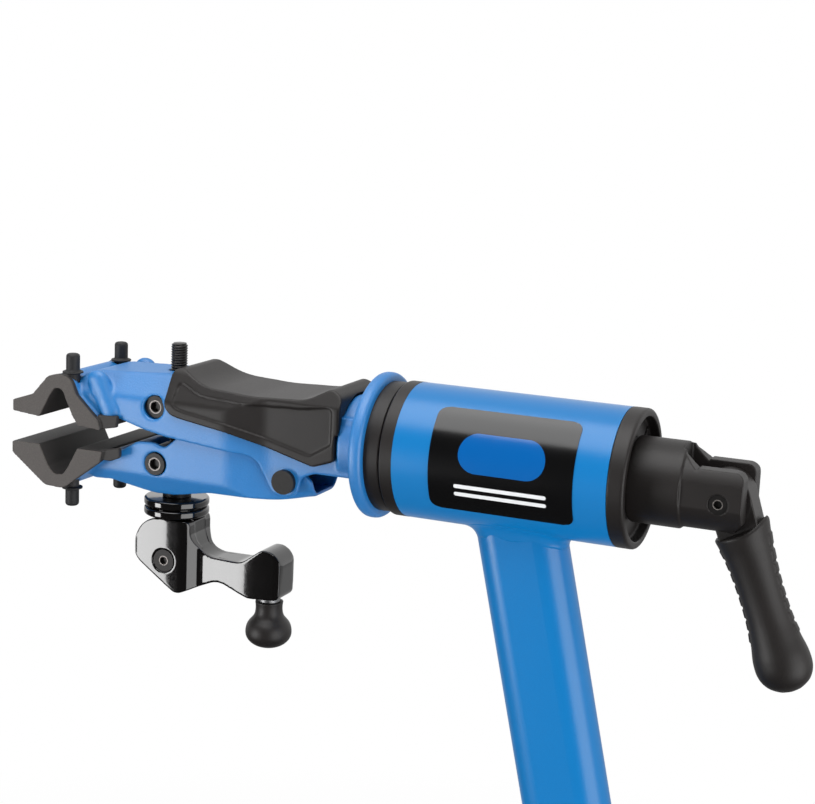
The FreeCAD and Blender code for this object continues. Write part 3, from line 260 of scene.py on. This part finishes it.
# The open tail of the lower jaw is round underneath, like a half pipe, and turns up at its end.
TAIL_RUN = 30 * MM
TAIL_DEPTH = 17 * MM
TAIL_ROUNDNESS = 0.8
TAIL_LIFT = 3 * MM
TAIL_END = 4 * MM
jaw_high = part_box("lower_jaw")[1]
tail_bottom = min(corner.co.z for corner in jaw_piece.data.vertices
                  if corner.co.x > jaw_high.x - TAIL_END)
for corner in jaw_piece.data.vertices:
    near_end = min(1.0, max(0.0, (corner.co.x - jaw_high.x + TAIL_RUN) / TAIL_RUN))
    depth = min(1.0, max(0.0, (tail_bottom + TAIL_DEPTH - corner.co.z) / TAIL_DEPTH))
    ease = near_end * near_end * (3 - 2 * near_end)
    corner.co.y *= 1 - ease * (1 - math.sqrt(1 - TAIL_ROUNDNESS * depth * depth))
    corner.co.z += ease * near_end * depth * TAIL_LIFT

# Black moulded plastic: rings, cap, cradle, clevis, handle, knobs and collar parts. It is warm
# and dull, with the fine sparked grain that a steel mould leaves.
moulded = Finish("black_moulding")
moulded_skin = moulded.grain(0.0006, 3.0)
moulded_cloud = moulded.grain(0.02, 2.0)
moulded.set("Base Color", moulded.blend(moulded_cloud, colour(21, 18, 17), colour(31, 27, 26)))
moulded.set("Roughness", moulded_skin * 0.16 + 0.40)
moulded.bump(moulded_skin, 0.00006, 0.5)
moulded.set("Specular IOR Level", 0.4)
paint(moulded, "front_ring", "clutch_ring", "collar_liner", "leg_washers", "mast_glide")
MOULDINGS = {"rear_cap": ("mast_head", 0.0006, 3), "cradle": ("clamp_head", 0.0006, 4),
             "clevis": ("clevis", 0.0005, 4), "handle_tongue": ("handle", 0.0005, 4),
             "crank_knob": ("crank_knob", 0.0005, 2),
             "collar_lever": ("quick_lever", 0.0006, 4), "collar_nut": ("base", 0.0004, 2),
             "leg_stop_block": ("base", 0.0006, 4), "leg_knob": ("leg_knob", 0.0005, 4)}
for name, (body, cell, passes) in MOULDINGS.items():
    soften(name, body, moulded, cell, passes)

# Jaw covers: dull moulded rubber with a fine pebble. The end faces, where the moulding was cut off,
# are a paler speckled grey, and the nubs that hold the covers in the castings are near black.
CUT_FACE_SKIN = 0.6 * MM
COVER_CELL = 0.0005
COVER_PASSES = 3
rubber = Finish("jaw_rubber")
rubber_skin = rubber.grain(0.0008, 3.0, 0.6)
rubber_place = rubber.node("ShaderNodeSeparateXYZ", {}, {0: rubber.place()}, output=1)
rubber_height = rubber_place.output("Z")
cut_face = rubber_place.sum("ABSOLUTE").above(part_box("upper_jaw_cover")[1].y - CUT_FACE_SKIN)
NUB_ROOT_UP = HEAD.z + 24.6 * MM
NUB_ROOT_DOWN = HEAD.z - 43.7 * MM
nub_dark = rubber_height.above(NUB_ROOT_UP) + rubber_height.below(NUB_ROOT_DOWN)
rubber_tone = rubber.blend(cut_face, rubber.blend(rubber_skin, colour(26, 24, 24), colour(48, 45, 44)),
                           rubber.blend(rubber_skin, colour(46, 42, 40), colour(86, 81, 78)))
rubber.set("Base Color", rubber.blend(nub_dark, rubber_tone, colour(24, 24, 26)))
rubber.set("Roughness", rubber_skin * 0.2 + 0.52)
rubber.bump(rubber_skin, 0.00014, 0.6)
soften("upper_jaw_cover", "clamp_head", rubber, COVER_CELL, COVER_PASSES)
soften("lower_jaw_cover", "lower_jaw", rubber, COVER_CELL, COVER_PASSES)

# Feet: black rubber caps pushed on the ends of the crossbars, ribbed round for a hold on the
# floor, with a dusty bloom in the grain.
rubber_black = Finish("foot_rubber")
foot_skin = rubber_black.grain(0.0009, 3.0)
rubber_black.set("Base Color", rubber_black.blend(foot_skin, colour(24, 24, 24), colour(40, 39, 38)))
rubber_black.set("Roughness", foot_skin * 0.2 + 0.6)
FOOT_RIB_PITCH = 0.006
foot_along = rubber_black.node("ShaderNodeSeparateXYZ", {}, {0: rubber_black.place()}, output=1)
foot_rib = (foot_along * (math.tau / FOOT_RIB_PITCH)).sum("SINE")
rubber_black.bump(foot_rib * 0.5 + foot_skin * 0.1, 0.0009, 0.8)
paint(rubber_black, "rear_feet", "front_feet")

# Cam lever and adjusting discs: cast, polished and lacquered deep black. A plate closes the end
# of the lever's slot and follows the neck's arc, in the lever's middle plane.
lacquer = Finish("black_lacquer")
lacquer_wave = lacquer.grain(0.01, 2.0)
lacquer.set("Base Color", colour(9, 8, 8))
lacquer.set("Roughness", lacquer_wave * 0.05 + 0.07)
lacquer.bump(lacquer_wave, 0.0002, 0.25)
lacquer.set("Coat Weight", 0.5)
lacquer.set("Coat Roughness", 0.03)
NECK_MIDDLE = (-183.2, -64.8)
NECK_RADIUS = 15.3
NECK_HALF = 7.6
neck_arc = [(NECK_MIDDLE[0] - NECK_RADIUS * math.cos(math.radians(turn)),
             NECK_MIDDLE[1] - NECK_RADIUS * math.sin(math.radians(turn))) for turn in range(0, 91, 10)]
neck_plate = [(-203, -98), (-203, -59.8), (-198.5, -59.8)] + neck_arc + [(NECK_MIDDLE[0], -92)]
cam_piece = soften("cam_lever", "cam_lever", lacquer, 0.0005, 16,
                   plates=[(neck_plate, NECK_HALF)])

# The polished faces of the lever swell and narrow a little along it, so that they mirror the room in
# bands. Half width at places along the lever, in millimetres from the middle of the barrel.
LEVER_SWELL = [(-240, 13.0), (-236, 13.9), (-231, 14.4), (-224, 14.8), (-216, 15.0), (-208, 14.85),
               (-202, 14.45), (-199.5, 13.6), (-194.5, 9.0), (-192, 8.5), (-189, 8.6), (-178, 9.4),
               (-170, 9.95), (-164, 10.2), (-158, 10.25), (-150, 10.1), (-144, 9.9), (-140, 9.7),
               (-136, 9.6)]


def along_curve(points, at):
    """Height of the smooth line through the points."""
    for place in range(len(points) - 1):
        start, end = points[place], points[place + 1]
        if at <= end[0]:
            before = points[max(place - 1, 0)]
            after = points[min(place + 2, len(points) - 1)]
            span = end[0] - start[0]
            slope_start = (end[1] - before[1]) / max(end[0] - before[0], 0.001) * span
            slope_end = (after[1] - start[1]) / max(after[0] - start[0], 0.001) * span
            share = (at - start[0]) / span
            square, cube = share ** 2, share ** 3
            return (start[1] * (2 * cube - 3 * square + 1) + slope_start * (cube - 2 * square + share)
                    + end[1] * (3 * square - 2 * cube) + slope_end * (cube - square))
    return points[-1][1]


SLOT_HALF = 6.5
SLOT_FADE = 1.5
lever_halves = {}
for corner in cam_piece.data.vertices:
    nearest = round((corner.co.x - HEAD.x) / MM)
    lever_halves[nearest] = max(lever_halves.get(nearest, 0.0), abs(corner.co.y) / MM)
lever_line = [(float(place), lever_halves[place]) for place in sorted(lever_halves)]
lever_line[1:-1] = [(middle[0], (before[1] + middle[1] + after[1]) / 3)
                    for before, middle, after in zip(lever_line, lever_line[1:], lever_line[2:])]
for corner in cam_piece.data.vertices:
    along = (corner.co.x - HEAD.x) / MM
    share = along_curve(LEVER_SWELL, along) / along_curve(lever_line, along)
    outer = min(1.0, max(0.0, (abs(corner.co.y) / MM - SLOT_HALF) / SLOT_FADE))
    corner.co.y *= 1 + (share - 1) * outer
paint(lacquer, "upper_disc", "lower_disc")

# Crossbars, bracket plates and collar: black satin paint over steel tube and folded plate.
# It shows a finer orange peel than the blue coat.
satin = Finish("black_satin_paint")
satin_peel = satin.grain(0.0012, 2.0)
satin.set("Base Color", satin.blend(satin_peel, colour(22, 22, 23), colour(32, 32, 33)))
satin.set("Roughness", satin_peel * 0.1 + 0.34)
satin.bump(satin_peel, 0.00005, 0.5)
paint(satin, "rear_crossbar", "front_crossbar")
soften("leg_bracket_plates", "base", satin, 0.0007, 3)
soften("collar_clamp", "base", satin, 0.0006, 4)

# Bare steel: turned pins, dowels, spacers and zinc-plated bolts. The plating has gone cloudy,
# as it does in a damp shed.
zinc = Finish("zinc_steel")
zinc_cloud = zinc.grain(0.004, 3.0)
zinc.set("Base Color", zinc.blend(zinc_cloud, colour(120, 121, 124), colour(168, 168, 168)))
zinc.set("Metallic", 1.0)
zinc.set("Roughness", zinc_cloud * 0.2 + 0.36)
paint(zinc, "collar_bolt", "collar_cam_pin", "bracket_bolts", "bracket_spacers", "leg_hinge_bolt", "spindle",
      "upper_dowel", "lower_dowel", "thrust_washer", "draw_bolt", "knob_stud")

# Black-oxide steel: socket screws, thrust sleeve, pivot pin and pivot bolts. The oxide is a thin
# warm black that wears unevenly.
oxide = Finish("black_oxide_steel")
oxide_cloud = oxide.grain(0.003, 3.0)
oxide.set("Base Color", oxide.blend(oxide_cloud, colour(16, 15, 15), colour(32, 30, 29)))
oxide.set("Metallic", 0.3)
oxide.set("Roughness", oxide_cloud * 0.15 + 0.34)
oxide.set("Specular IOR Level", 0.35)
paint(oxide, "upper_dowel_screws", "lower_dowel_screws", "cam_bolt", "handle_bolt", "thrust_sleeve",
      "jaw_pivot_pin", "pivot_clip")


# Weld under the barrel: a hollow fillet round the head of the oval mast, in small even ripples.
# Its toe is tucked under the mast's skin and its crown under the barrel's.
def add_piece(name, mesh, finish, body, crisp=0):
    """A finished mesh becomes a piece. Edges sharper than crisp, in degrees, stay sharp."""
    bmesh.ops.recalc_face_normals(mesh, faces=mesh.faces)
    data = bpy.data.meshes.new(name)
    mesh.to_mesh(data)
    mesh.free()
    data.shade_smooth()
    data.materials.append(finish.material)
    piece = bpy.data.objects.new(name, data)
    bpy.context.scene.collection.objects.link(piece)
    if crisp:
        piece.modifiers.new("crisp", "EDGE_SPLIT").split_angle = math.radians(crisp)
    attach(piece, body)
    return piece


def skin_rings(name, rings, finish, body, closed=True, crisp=0):
    """Rings that have as many points each are joined up. The two ends are closed, if asked."""
    mesh = bmesh.new()
    rows = [[mesh.verts.new(point) for point in ring] for ring in rings]
    count = len(rows[0])
    for low, high in zip(rows, rows[1:]):
        for place in range(count):
            ahead = (place + 1) % count
            mesh.faces.new((low[place], low[ahead], high[ahead], high[place]))
    if closed:
        mesh.faces.new(rows[0][::-1])
        mesh.faces.new(rows[-1])
    return add_piece(name, mesh, finish, body, crisp)


MAST_LEAN = math.radians(13.0)
MAST_CROSS = -4.7
MAST_HALF_WIDTH = 25.4
MAST_HALF_DEPTH = 15.0
BARREL_RADIUS = 38.0
WELD_REACH = 6.0
WELD_HOLLOW = 0.12
WELD_RIPPLE = 0.25
WELD_RIPPLES = 17
WELD_SIDES = 180
WELD_STEPS = 8
FLAT_TURN = 3
mast_up = Vector((-math.sin(MAST_LEAN), 0, math.cos(MAST_LEAN)))
mast_across = Vector((math.cos(MAST_LEAN), 0, math.sin(MAST_LEAN)))
weld_columns = []
for side in range(WELD_SIDES):
    turn = math.tau * side / WELD_SIDES
    outward = Vector((math.cos(turn), math.sin(turn), 0))
    out_of_mast = mast_across * outward.x + Vector((0, outward.y, 0))
    flat = (MAST_HALF_WIDTH - MAST_HALF_DEPTH) * min(1.0, abs(outward.x) * FLAT_TURN)
    edge_x = math.copysign(flat, outward.x) + MAST_HALF_DEPTH * outward.x
    edge_y = MAST_HALF_DEPTH * outward.y
    corner_z = -math.sqrt(BARREL_RADIUS ** 2 - edge_y ** 2)
    climb = (corner_z - edge_x * mast_across.z) / mast_up.z
    corner = Vector((MAST_CROSS, edge_y, 0)) + mast_across * edge_x + mast_up * climb
    reach = WELD_REACH + WELD_RIPPLE * abs(math.sin(side * WELD_RIPPLES * math.pi / WELD_SIDES))
    toe = corner - mast_up * reach
    crown = corner + out_of_mast * reach
    crown.z = -math.sqrt(BARREL_RADIUS ** 2 - crown.y ** 2)
    pull = corner + (toe - corner) * WELD_HOLLOW + (crown - corner) * WELD_HOLLOW
    column = [toe - out_of_mast]
    for step in range(WELD_STEPS + 1):
        share = step / WELD_STEPS
        column.append(toe * (1 - share) ** 2 + pull * 2 * share * (1 - share) + crown * share ** 2)
    column.append(crown + Vector((0, -crown.y, -crown.z)).normalized())
    weld_columns.append([head_place(*point) for point in column])
weld_rings = [list(ring) for ring in zip(*weld_columns)]
weld_bead = skin_rings("weld_bead", weld_rings, powder, "mast_head", closed=False)
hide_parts("mast_weld")

# Threaded rod: rolled steel with a coarse thread, blacked. The thread starts above the eye that
# holds the cam bolt and is chamfered at its tip.
rod_low, rod_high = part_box("clamp_rod")
ROD_RADIUS = 0.005
EYE_ROOM = 0.024
THREAD_PITCH = 0.0015
THREAD_DEPTH = 0.0007
STEPS_IN_PITCH = 8
TIP_RUN = 0.0012
TIP_DROP = 0.0009
ROD_SIDES = 32
rod_x = (rod_low.x + rod_high.x) / 2
thread = Finish("rolled_thread")
thread.set("Base Color", thread.blend(thread.grain(0.002), colour(22, 21, 21), colour(44, 42, 41)))
thread.set("Metallic", 0.5)
thread.set("Roughness", thread.grain(0.001) * 0.2 + 0.22)
thread_rings = []
thread_start = rod_low.z + EYE_ROOM
steps = int((rod_high.z - thread_start) / (THREAD_PITCH / STEPS_IN_PITCH))
for step in range(steps + 1):
    height = thread_start + (rod_high.z - thread_start) * step / steps
    tip_fade = min(1.0, (rod_high.z - height) / TIP_RUN)
    ring = []
    for side in range(ROD_SIDES):
        turn = math.tau * side / ROD_SIDES
        flank = abs(((height - thread_start) / THREAD_PITCH - side / ROD_SIDES) % 1.0 * 2 - 1)
        radius = ROD_RADIUS - THREAD_DEPTH * flank - TIP_DROP * (1 - tip_fade)
        ring.append((rod_x + radius * math.cos(turn), radius * math.sin(turn), height))
    thread_rings.append(ring)
skin_rings("threaded_rod", thread_rings, thread, "clamp_rod")


# Eye of the rod: a turned steel ring at its foot, which sits in the slot of the cam lever. The cam
# bolt goes through its bore.
RING_SIDES = 48


def turn_ring(name, centre, axis, outline, finish, body):
    """A closed outline of (reach along the axis, radius) pairs, swept round the axis."""
    along = Vector(axis).normalized()
    across = along.orthogonal().normalized()
    up = along.cross(across)
    mesh = bmesh.new()
    rows = []
    for side in range(RING_SIDES):
        turn = math.tau * side / RING_SIDES
        outward = across * math.cos(turn) + up * math.sin(turn)
        rows.append([mesh.verts.new(Vector(centre) + along * reach + outward * radius)
                     for reach, radius in outline])
    count = len(outline)
    for side in range(RING_SIDES):
        ahead = rows[(side + 1) % RING_SIDES]
        for place in range(count):
            after = (place + 1) % count
            mesh.faces.new((rows[side][place], rows[side][after], ahead[after], ahead[place]))
    return add_piece(name, mesh, finish, body, crisp=35)


def ring_outline(inner, outer, low, high, bevel):
    return [(low, inner), (low, outer - bevel), (low + bevel, outer), (high - bevel, outer),
            (high, outer - bevel), (high, inner)]


EYE_RADIUS = 0.011
EYE_BORE = 0.00405
EYE_HALF = 0.0061
EYE_BEVEL = 0.0006
eye_centre = (rod_x, 0, rod_low.z + EYE_RADIUS)
rod_eye = turn_ring("rod_eye", eye_centre, (0, 1, 0),
                    ring_outline(EYE_BORE, EYE_RADIUS, -EYE_HALF, EYE_HALF, EYE_BEVEL),
                    oxide, "clamp_rod")
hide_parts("clamp_rod")

# Bright wear on the screws: the plating is rubbed through on the rim of each socket. Round the
# upper screws the floor of their pocket in the arm's wall shows as a blue ring.
bright = Finish("rubbed_screw_rim")
bright_wear = bright.grain(0.0012, 3.0)
bright.set("Base Color", bright.blend(bright_wear, colour(84, 80, 78), colour(176, 170, 166)))
bright.set("Metallic", 0.9)
bright.set("Roughness", bright_wear * 0.25 + 0.38)
RIM_LOW, RIM_HIGH, RIM_BEVEL = -0.00015, 0.0001, 0.00005
POCKET_INNER, POCKET_OUTER, POCKET_BEVEL = 0.0055, 0.0092, 0.0002
POCKET_FLOOR, POCKET_BACK = -0.0022, -0.0037


def screw_face(node, side):
    """Middle of the outer end of a cross screw."""
    low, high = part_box(node)
    return Vector(((low.x + high.x) / 2, low.y if side < 0 else high.y, (low.z + high.z) / 2))


def socket_rim(name, node, side, radius, width, body):
    outline = ring_outline(radius, radius + width, RIM_LOW, RIM_HIGH, RIM_BEVEL)
    turn_ring(name, screw_face(node, side), (0, side, 0), outline, bright, body)


for side, word in ((-1, "near"), (1, "far")):
    socket_rim("upper_screw_rim_" + word, "upper_dowel_screws", side, 0.0033, 0.0007, "clamp_head")
    socket_rim("lower_screw_rim_" + word, "lower_dowel_screws", side, 0.0033, 0.0007, "lower_jaw")
    turn_ring("screw_pocket_" + word, screw_face("upper_dowel_screws", side), (0, side, 0),
              ring_outline(POCKET_INNER, POCKET_OUTER, POCKET_BACK, POCKET_FLOOR, POCKET_BEVEL),
              cast, "clamp_head")
socket_rim("cam_bolt_rim", "cam_bolt", -1, 0.0024, 0.0006, "cam_lever")
socket_rim("handle_bolt_rim", "handle_bolt", -1, 0.0022, 0.0005, "clevis")

# Label: glossy black film with a plain blue lozenge and two pale rules, bare of words. It lies on
# the barrel as a thin curved sheet with round corners.
film = Finish("label_film")
label_place = film.node("ShaderNodeSeparateXYZ", {}, {0: film.place()})
label_x = label_place - HEAD.x
label_z = label_place.output("Z") - HEAD.z


def lozenge(middle_x, middle_z, half_length, radius):
    """1 inside a bar with round ends, 0 outside it."""
    along = ((label_x - middle_x).sum("ABSOLUTE") - half_length).sum("MAXIMUM", 0.0)
    across = label_z - middle_z
    return (along * along + across * across).sum("SQRT").below(radius)


film_blue = film.blend(lozenge(0.003, 0.010, 0.014, 0.0105), colour(9, 9, 10), colour(0, 88, 160))
film_rule = lozenge(0.003, -0.0085, 0.025, 0.0011).sum(
    "MAXIMUM", lozenge(0.003, -0.0130, 0.025, 0.0011))
film.set("Base Color", film.blend(film_rule, film_blue, colour(226, 228, 230)))
film.set("Roughness", film.grain(0.02) * 0.06 + 0.16)
LABEL_LEFT, LABEL_RIGHT = -38.0, 43.5
LABEL_LOW, LABEL_TOP = -23.2, 31.2
LABEL_ROUND = 6.0
LABEL_LIFT, LABEL_BACK = 0.35, 0.02
LABEL_STEPS = 60
LABEL_POINTS = 9
barrel_radius = (barrel_high.z - barrel_low.z) / 2 / MM
label_radius = barrel_radius + LABEL_LIFT
angle_low = math.asin(LABEL_LOW / label_radius)
angle_top = math.asin(LABEL_TOP / label_radius)
label_rings = []
for step in range(LABEL_STEPS + 1):
    angle = angle_low + (angle_top - angle_low) * step / LABEL_STEPS
    from_end = min(angle - angle_low, angle_top - angle) * label_radius
    inset = 0.0
    if from_end < LABEL_ROUND:
        inset = LABEL_ROUND - math.sqrt(LABEL_ROUND ** 2 - (LABEL_ROUND - from_end) ** 2)
    front, back = [], []
    for radius, row in ((label_radius, front), (barrel_radius + LABEL_BACK, back)):
        for point in range(LABEL_POINTS):
            share = point / (LABEL_POINTS - 1)
            x = (LABEL_LEFT + inset) * (1 - share) + (LABEL_RIGHT - inset) * share
            row.append(head_place(x, -radius * math.cos(angle), radius * math.sin(angle)))
    label_rings.append(front + back[::-1])
label_sheet = skin_rings("label_sheet", label_rings, film, "mast_head", crisp=35)
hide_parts("label_plate")

# Handle grip: moulded over the tongue, oval, waisted for the hand, with a row of low finger ribs
# along both edges and a fine parting line where the mould halves met.
GRIP_PIVOT = Vector((116.5, 0, -3.5))
GRIP_TILT = math.radians(21.5)
grip_down = Vector((math.sin(GRIP_TILT), 0, -math.cos(GRIP_TILT)))
grip_across = Vector((math.cos(GRIP_TILT), 0, math.sin(GRIP_TILT)))
GRIP_OFFSET = 2.5
GRIP_FLATNESS = 0.84
GRIP_SHAPE = [(20.0, 14.6), (21.0, 15.4), (24, 14.9), (31, 13.4), (42, 12.2), (55, 11.7), (69, 12.1),
              (80, 13.6), (89, 15.2), (97, 14.9), (103, 11.8), (106.8, 6.4), (108.0, 2.0)]
GRIP_TOP = GRIP_SHAPE[0][0]
GRIP_RIBS = 8
RIB_PITCH = 6.6
RIB_START = 29.0
RIB_LIFT = 0.65
RIB_SHARE = 0.42
RIB_FLANK = 9
RIB_EDGE = 0.94
RIB_EDGE_FADE = 2.5
GRIP_EAR = 5.5
EAR_RUN = 16
PARTING_LIFT = 0.05
PARTING_WIDTH = 0.02
GRIP_SIDES = 96
GRIP_STEP = 0.5
grip_rings = []
grip_length = GRIP_SHAPE[-1][0] - GRIP_TOP
grip_steps = int(grip_length / GRIP_STEP)
for step in range(grip_steps + 1):
    down = GRIP_TOP + grip_length * step / grip_steps
    half = along_curve(GRIP_SHAPE, down)
    rib_place = (down - RIB_START) / RIB_PITCH
    on_rib = 0.0
    if -0.5 < rib_place < GRIP_RIBS - 0.5:
        from_rib = abs(rib_place - round(rib_place))
        on_rib = min(1.0, max(0.0, (RIB_SHARE - from_rib) * RIB_FLANK))
    ring = []
    for side in range(GRIP_SIDES):
        turn = math.tau * side / GRIP_SIDES
        edge_share = max(0.0, abs(math.cos(turn)) - RIB_EDGE) / (1 - RIB_EDGE)
        lift = RIB_LIFT * on_rib * min(1.0, edge_share * RIB_EDGE_FADE)
        if min(abs(math.sin(turn)), abs(math.cos(turn))) < PARTING_WIDTH:
            lift += PARTING_LIFT
        reach = half + lift
        ear = GRIP_EAR * max(0.0, math.cos(turn)) ** 2 * max(0.0, 1 - (down - GRIP_TOP) / EAR_RUN)
        centre = GRIP_PIVOT + grip_down * (down - ear) + grip_across * (GRIP_OFFSET + reach * math.cos(turn))
        ring.append(head_place(centre.x, reach * GRIP_FLATNESS * math.sin(turn), centre.z))
    grip_rings.append(ring)
grip_piece = skin_rings("moulded_grip", grip_rings, moulded, "handle", crisp=50)
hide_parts("handle_grip")

# The blade of the tongue narrows inside the grip, so that its corners stay under the grip's skin.
BLADE_SHRINK = 0.4
BLADE_START = GRIP_TOP + 1.5
BLADE_FADE = 3
for corner in bpy.data.objects["soft_handle_tongue"].data.vertices:
    from_pivot = (corner.co - HEAD) / MM - GRIP_PIVOT
    inside = min(1.0, max(0.0, (from_pivot.dot(grip_down) - BLADE_START) / BLADE_FADE))
    sideways = from_pivot.dot(grip_across) - GRIP_OFFSET
    corner.co -= grip_across * sideways * BLADE_SHRINK * inside * MM
    corner.co.y *= 1 - BLADE_SHRINK * inside

# Studio: a pale floor that keeps the shadow and runs to a white distance. In mirrored rays it is
# dark before the stand and pale behind it.
FLOOR_NEAR_WHITE = 0.84
FLOOR_FADE = 0.11
MIRROR_SLOPE = 0.4
MIRROR_LOW, MIRROR_HIGH = 0.04, 0.5
floor_finish = Finish("studio_floor")
floor_finish.set("Base Color", colour(230, 230, 230))
floor_finish.set("Roughness", 0.9)
floor_far = floor_finish.node("ShaderNodeVectorMath", {"operation": "LENGTH"},
                              {0: floor_finish.place()}, output=1)
floor_share = floor_far * FLOOR_FADE + FLOOR_NEAR_WHITE - FLOOR_FADE
floor_share = floor_share.sum("MINIMUM", 1.0).sum("MAXIMUM", FLOOR_NEAR_WHITE)
floor_behind = floor_finish.node("ShaderNodeSeparateXYZ", {}, {0: floor_finish.place()}, output=1)
mirror_glow = (floor_behind * MIRROR_SLOPE).sum("MAXIMUM", MIRROR_LOW).sum("MINIMUM", MIRROR_HIGH)
camera_ray = floor_finish.node("ShaderNodeLightPath")
mirrored_ray = camera_ray.output("Is Glossy Ray").sum("MAXIMUM", camera_ray.output("Is Transmission Ray"))
glow_strength = (camera_ray + mirrored_ray * mirror_glow).sum("MINIMUM", 1.0)
floor_glow = floor_finish.node("ShaderNodeEmission", {}, {"Color": (1, 1, 1, 1), "Strength": glow_strength})
floor_mix = floor_finish.node("ShaderNodeMixShader", {}, {
    0: camera_ray * floor_share + mirrored_ray, 1: Socket(floor_finish, floor_finish.surface.outputs[0]),
    2: floor_glow})
floor_finish.tree.links.new(floor_mix.link, floor_finish.tree.nodes["Material Output"].inputs["Surface"])
FLOOR_HALF = 8
floor_mesh = bpy.data.meshes.new("studio_floor")
floor_mesh.from_pydata([(-FLOOR_HALF, -FLOOR_HALF, 0), (FLOOR_HALF, -FLOOR_HALF, 0),
                        (FLOOR_HALF, FLOOR_HALF, 0), (-FLOOR_HALF, FLOOR_HALF, 0)], [], [(0, 1, 2, 3)])
floor = bpy.data.objects.new("studio_floor", floor_mesh)
floor.data.materials.append(floor_finish.material)
bpy.context.scene.collection.objects.link(floor)


# Three large soft lamps: one over the clamp, one low on the left that the polished lever mirrors,
# and one on the right that edges the mast.
def soft_lamp(name, place, target, width, height, power):
    data = bpy.data.lights.new(name, "AREA")
    data.shape = "RECTANGLE"
    data.size = width
    data.size_y = height
    data.energy = power
    lamp = bpy.data.objects.new(name, data)
    lamp.location = place
    lamp.rotation_euler = (Vector(target) - Vector(place)).to_track_quat("-Z", "Y").to_euler()
    bpy.context.scene.collection.objects.link(lamp)


soft_lamp("top_lamp", head_place(-250, -500, 1350), HEAD, 1.5, 1.2, 23)
soft_lamp("left_lamp", head_place(-1500, -1540, -360), head_place(-200, 0, 0), 0.8, 0.95, 23)
soft_lamp("right_lamp", head_place(1350, -650, -250), HEAD, 1.3, 1.5, 20)

# World: an even fill for the paint, a white wall behind for the camera and for reflections, and
# a dark room in front.
world = bpy.data.worlds.new("studio")
world.use_nodes = True
bpy.context.scene.world = world
world_tree = world.node_tree


def world_node(kind, settings=None, values=None):
    made = world_tree.nodes.new(kind)
    for name, value in (settings or {}).items():
        setattr(made, name, value)
    for name, value in (values or {}).items():
        if isinstance(value, bpy.types.NodeSocket):
            world_tree.links.new(value, made.inputs[name])
        else:
            made.inputs[name].default_value = value
    return made


FILL = 0.36
FRONT_SHADE = 0.03
WALL_START, WALL_FULL = -0.25, 0.1
rays = world_node("ShaderNodeLightPath")
direction = world_node("ShaderNodeSeparateXYZ", {}, {
    0: world_node("ShaderNodeTexCoord").outputs["Generated"]})
behind = world_node("ShaderNodeMapRange", {}, {
    0: direction.outputs[1], 1: WALL_START, 2: WALL_FULL, 3: FRONT_SHADE, 4: 1.0})
fill = world_tree.nodes["Background"]
fill.inputs["Color"].default_value = (1, 1, 1, 1)
fill.inputs["Strength"].default_value = FILL
backdrop = world_node("ShaderNodeBackground", {}, {0: (1, 1, 1, 1), 1: behind.outputs[0]})
white = world_node("ShaderNodeBackground", {}, {0: (1, 1, 1, 1), 1: 1.0})
mirrored = world_node("ShaderNodeMath", {"operation": "MAXIMUM"}, {
    0: rays.outputs["Is Glossy Ray"], 1: rays.outputs["Is Transmission Ray"]})
shown = world_node("ShaderNodeMixShader", {}, {
    0: mirrored.outputs[0], 1: fill.outputs[0], 2: backdrop.outputs[0]})
chooser = world_node("ShaderNodeMixShader", {}, {
    0: rays.outputs["Is Camera Ray"], 1: shown.outputs[0], 2: white.outputs[0]})
world_tree.links.new(chooser.outputs[0], world_tree.nodes["World Output"].inputs["Surface"])
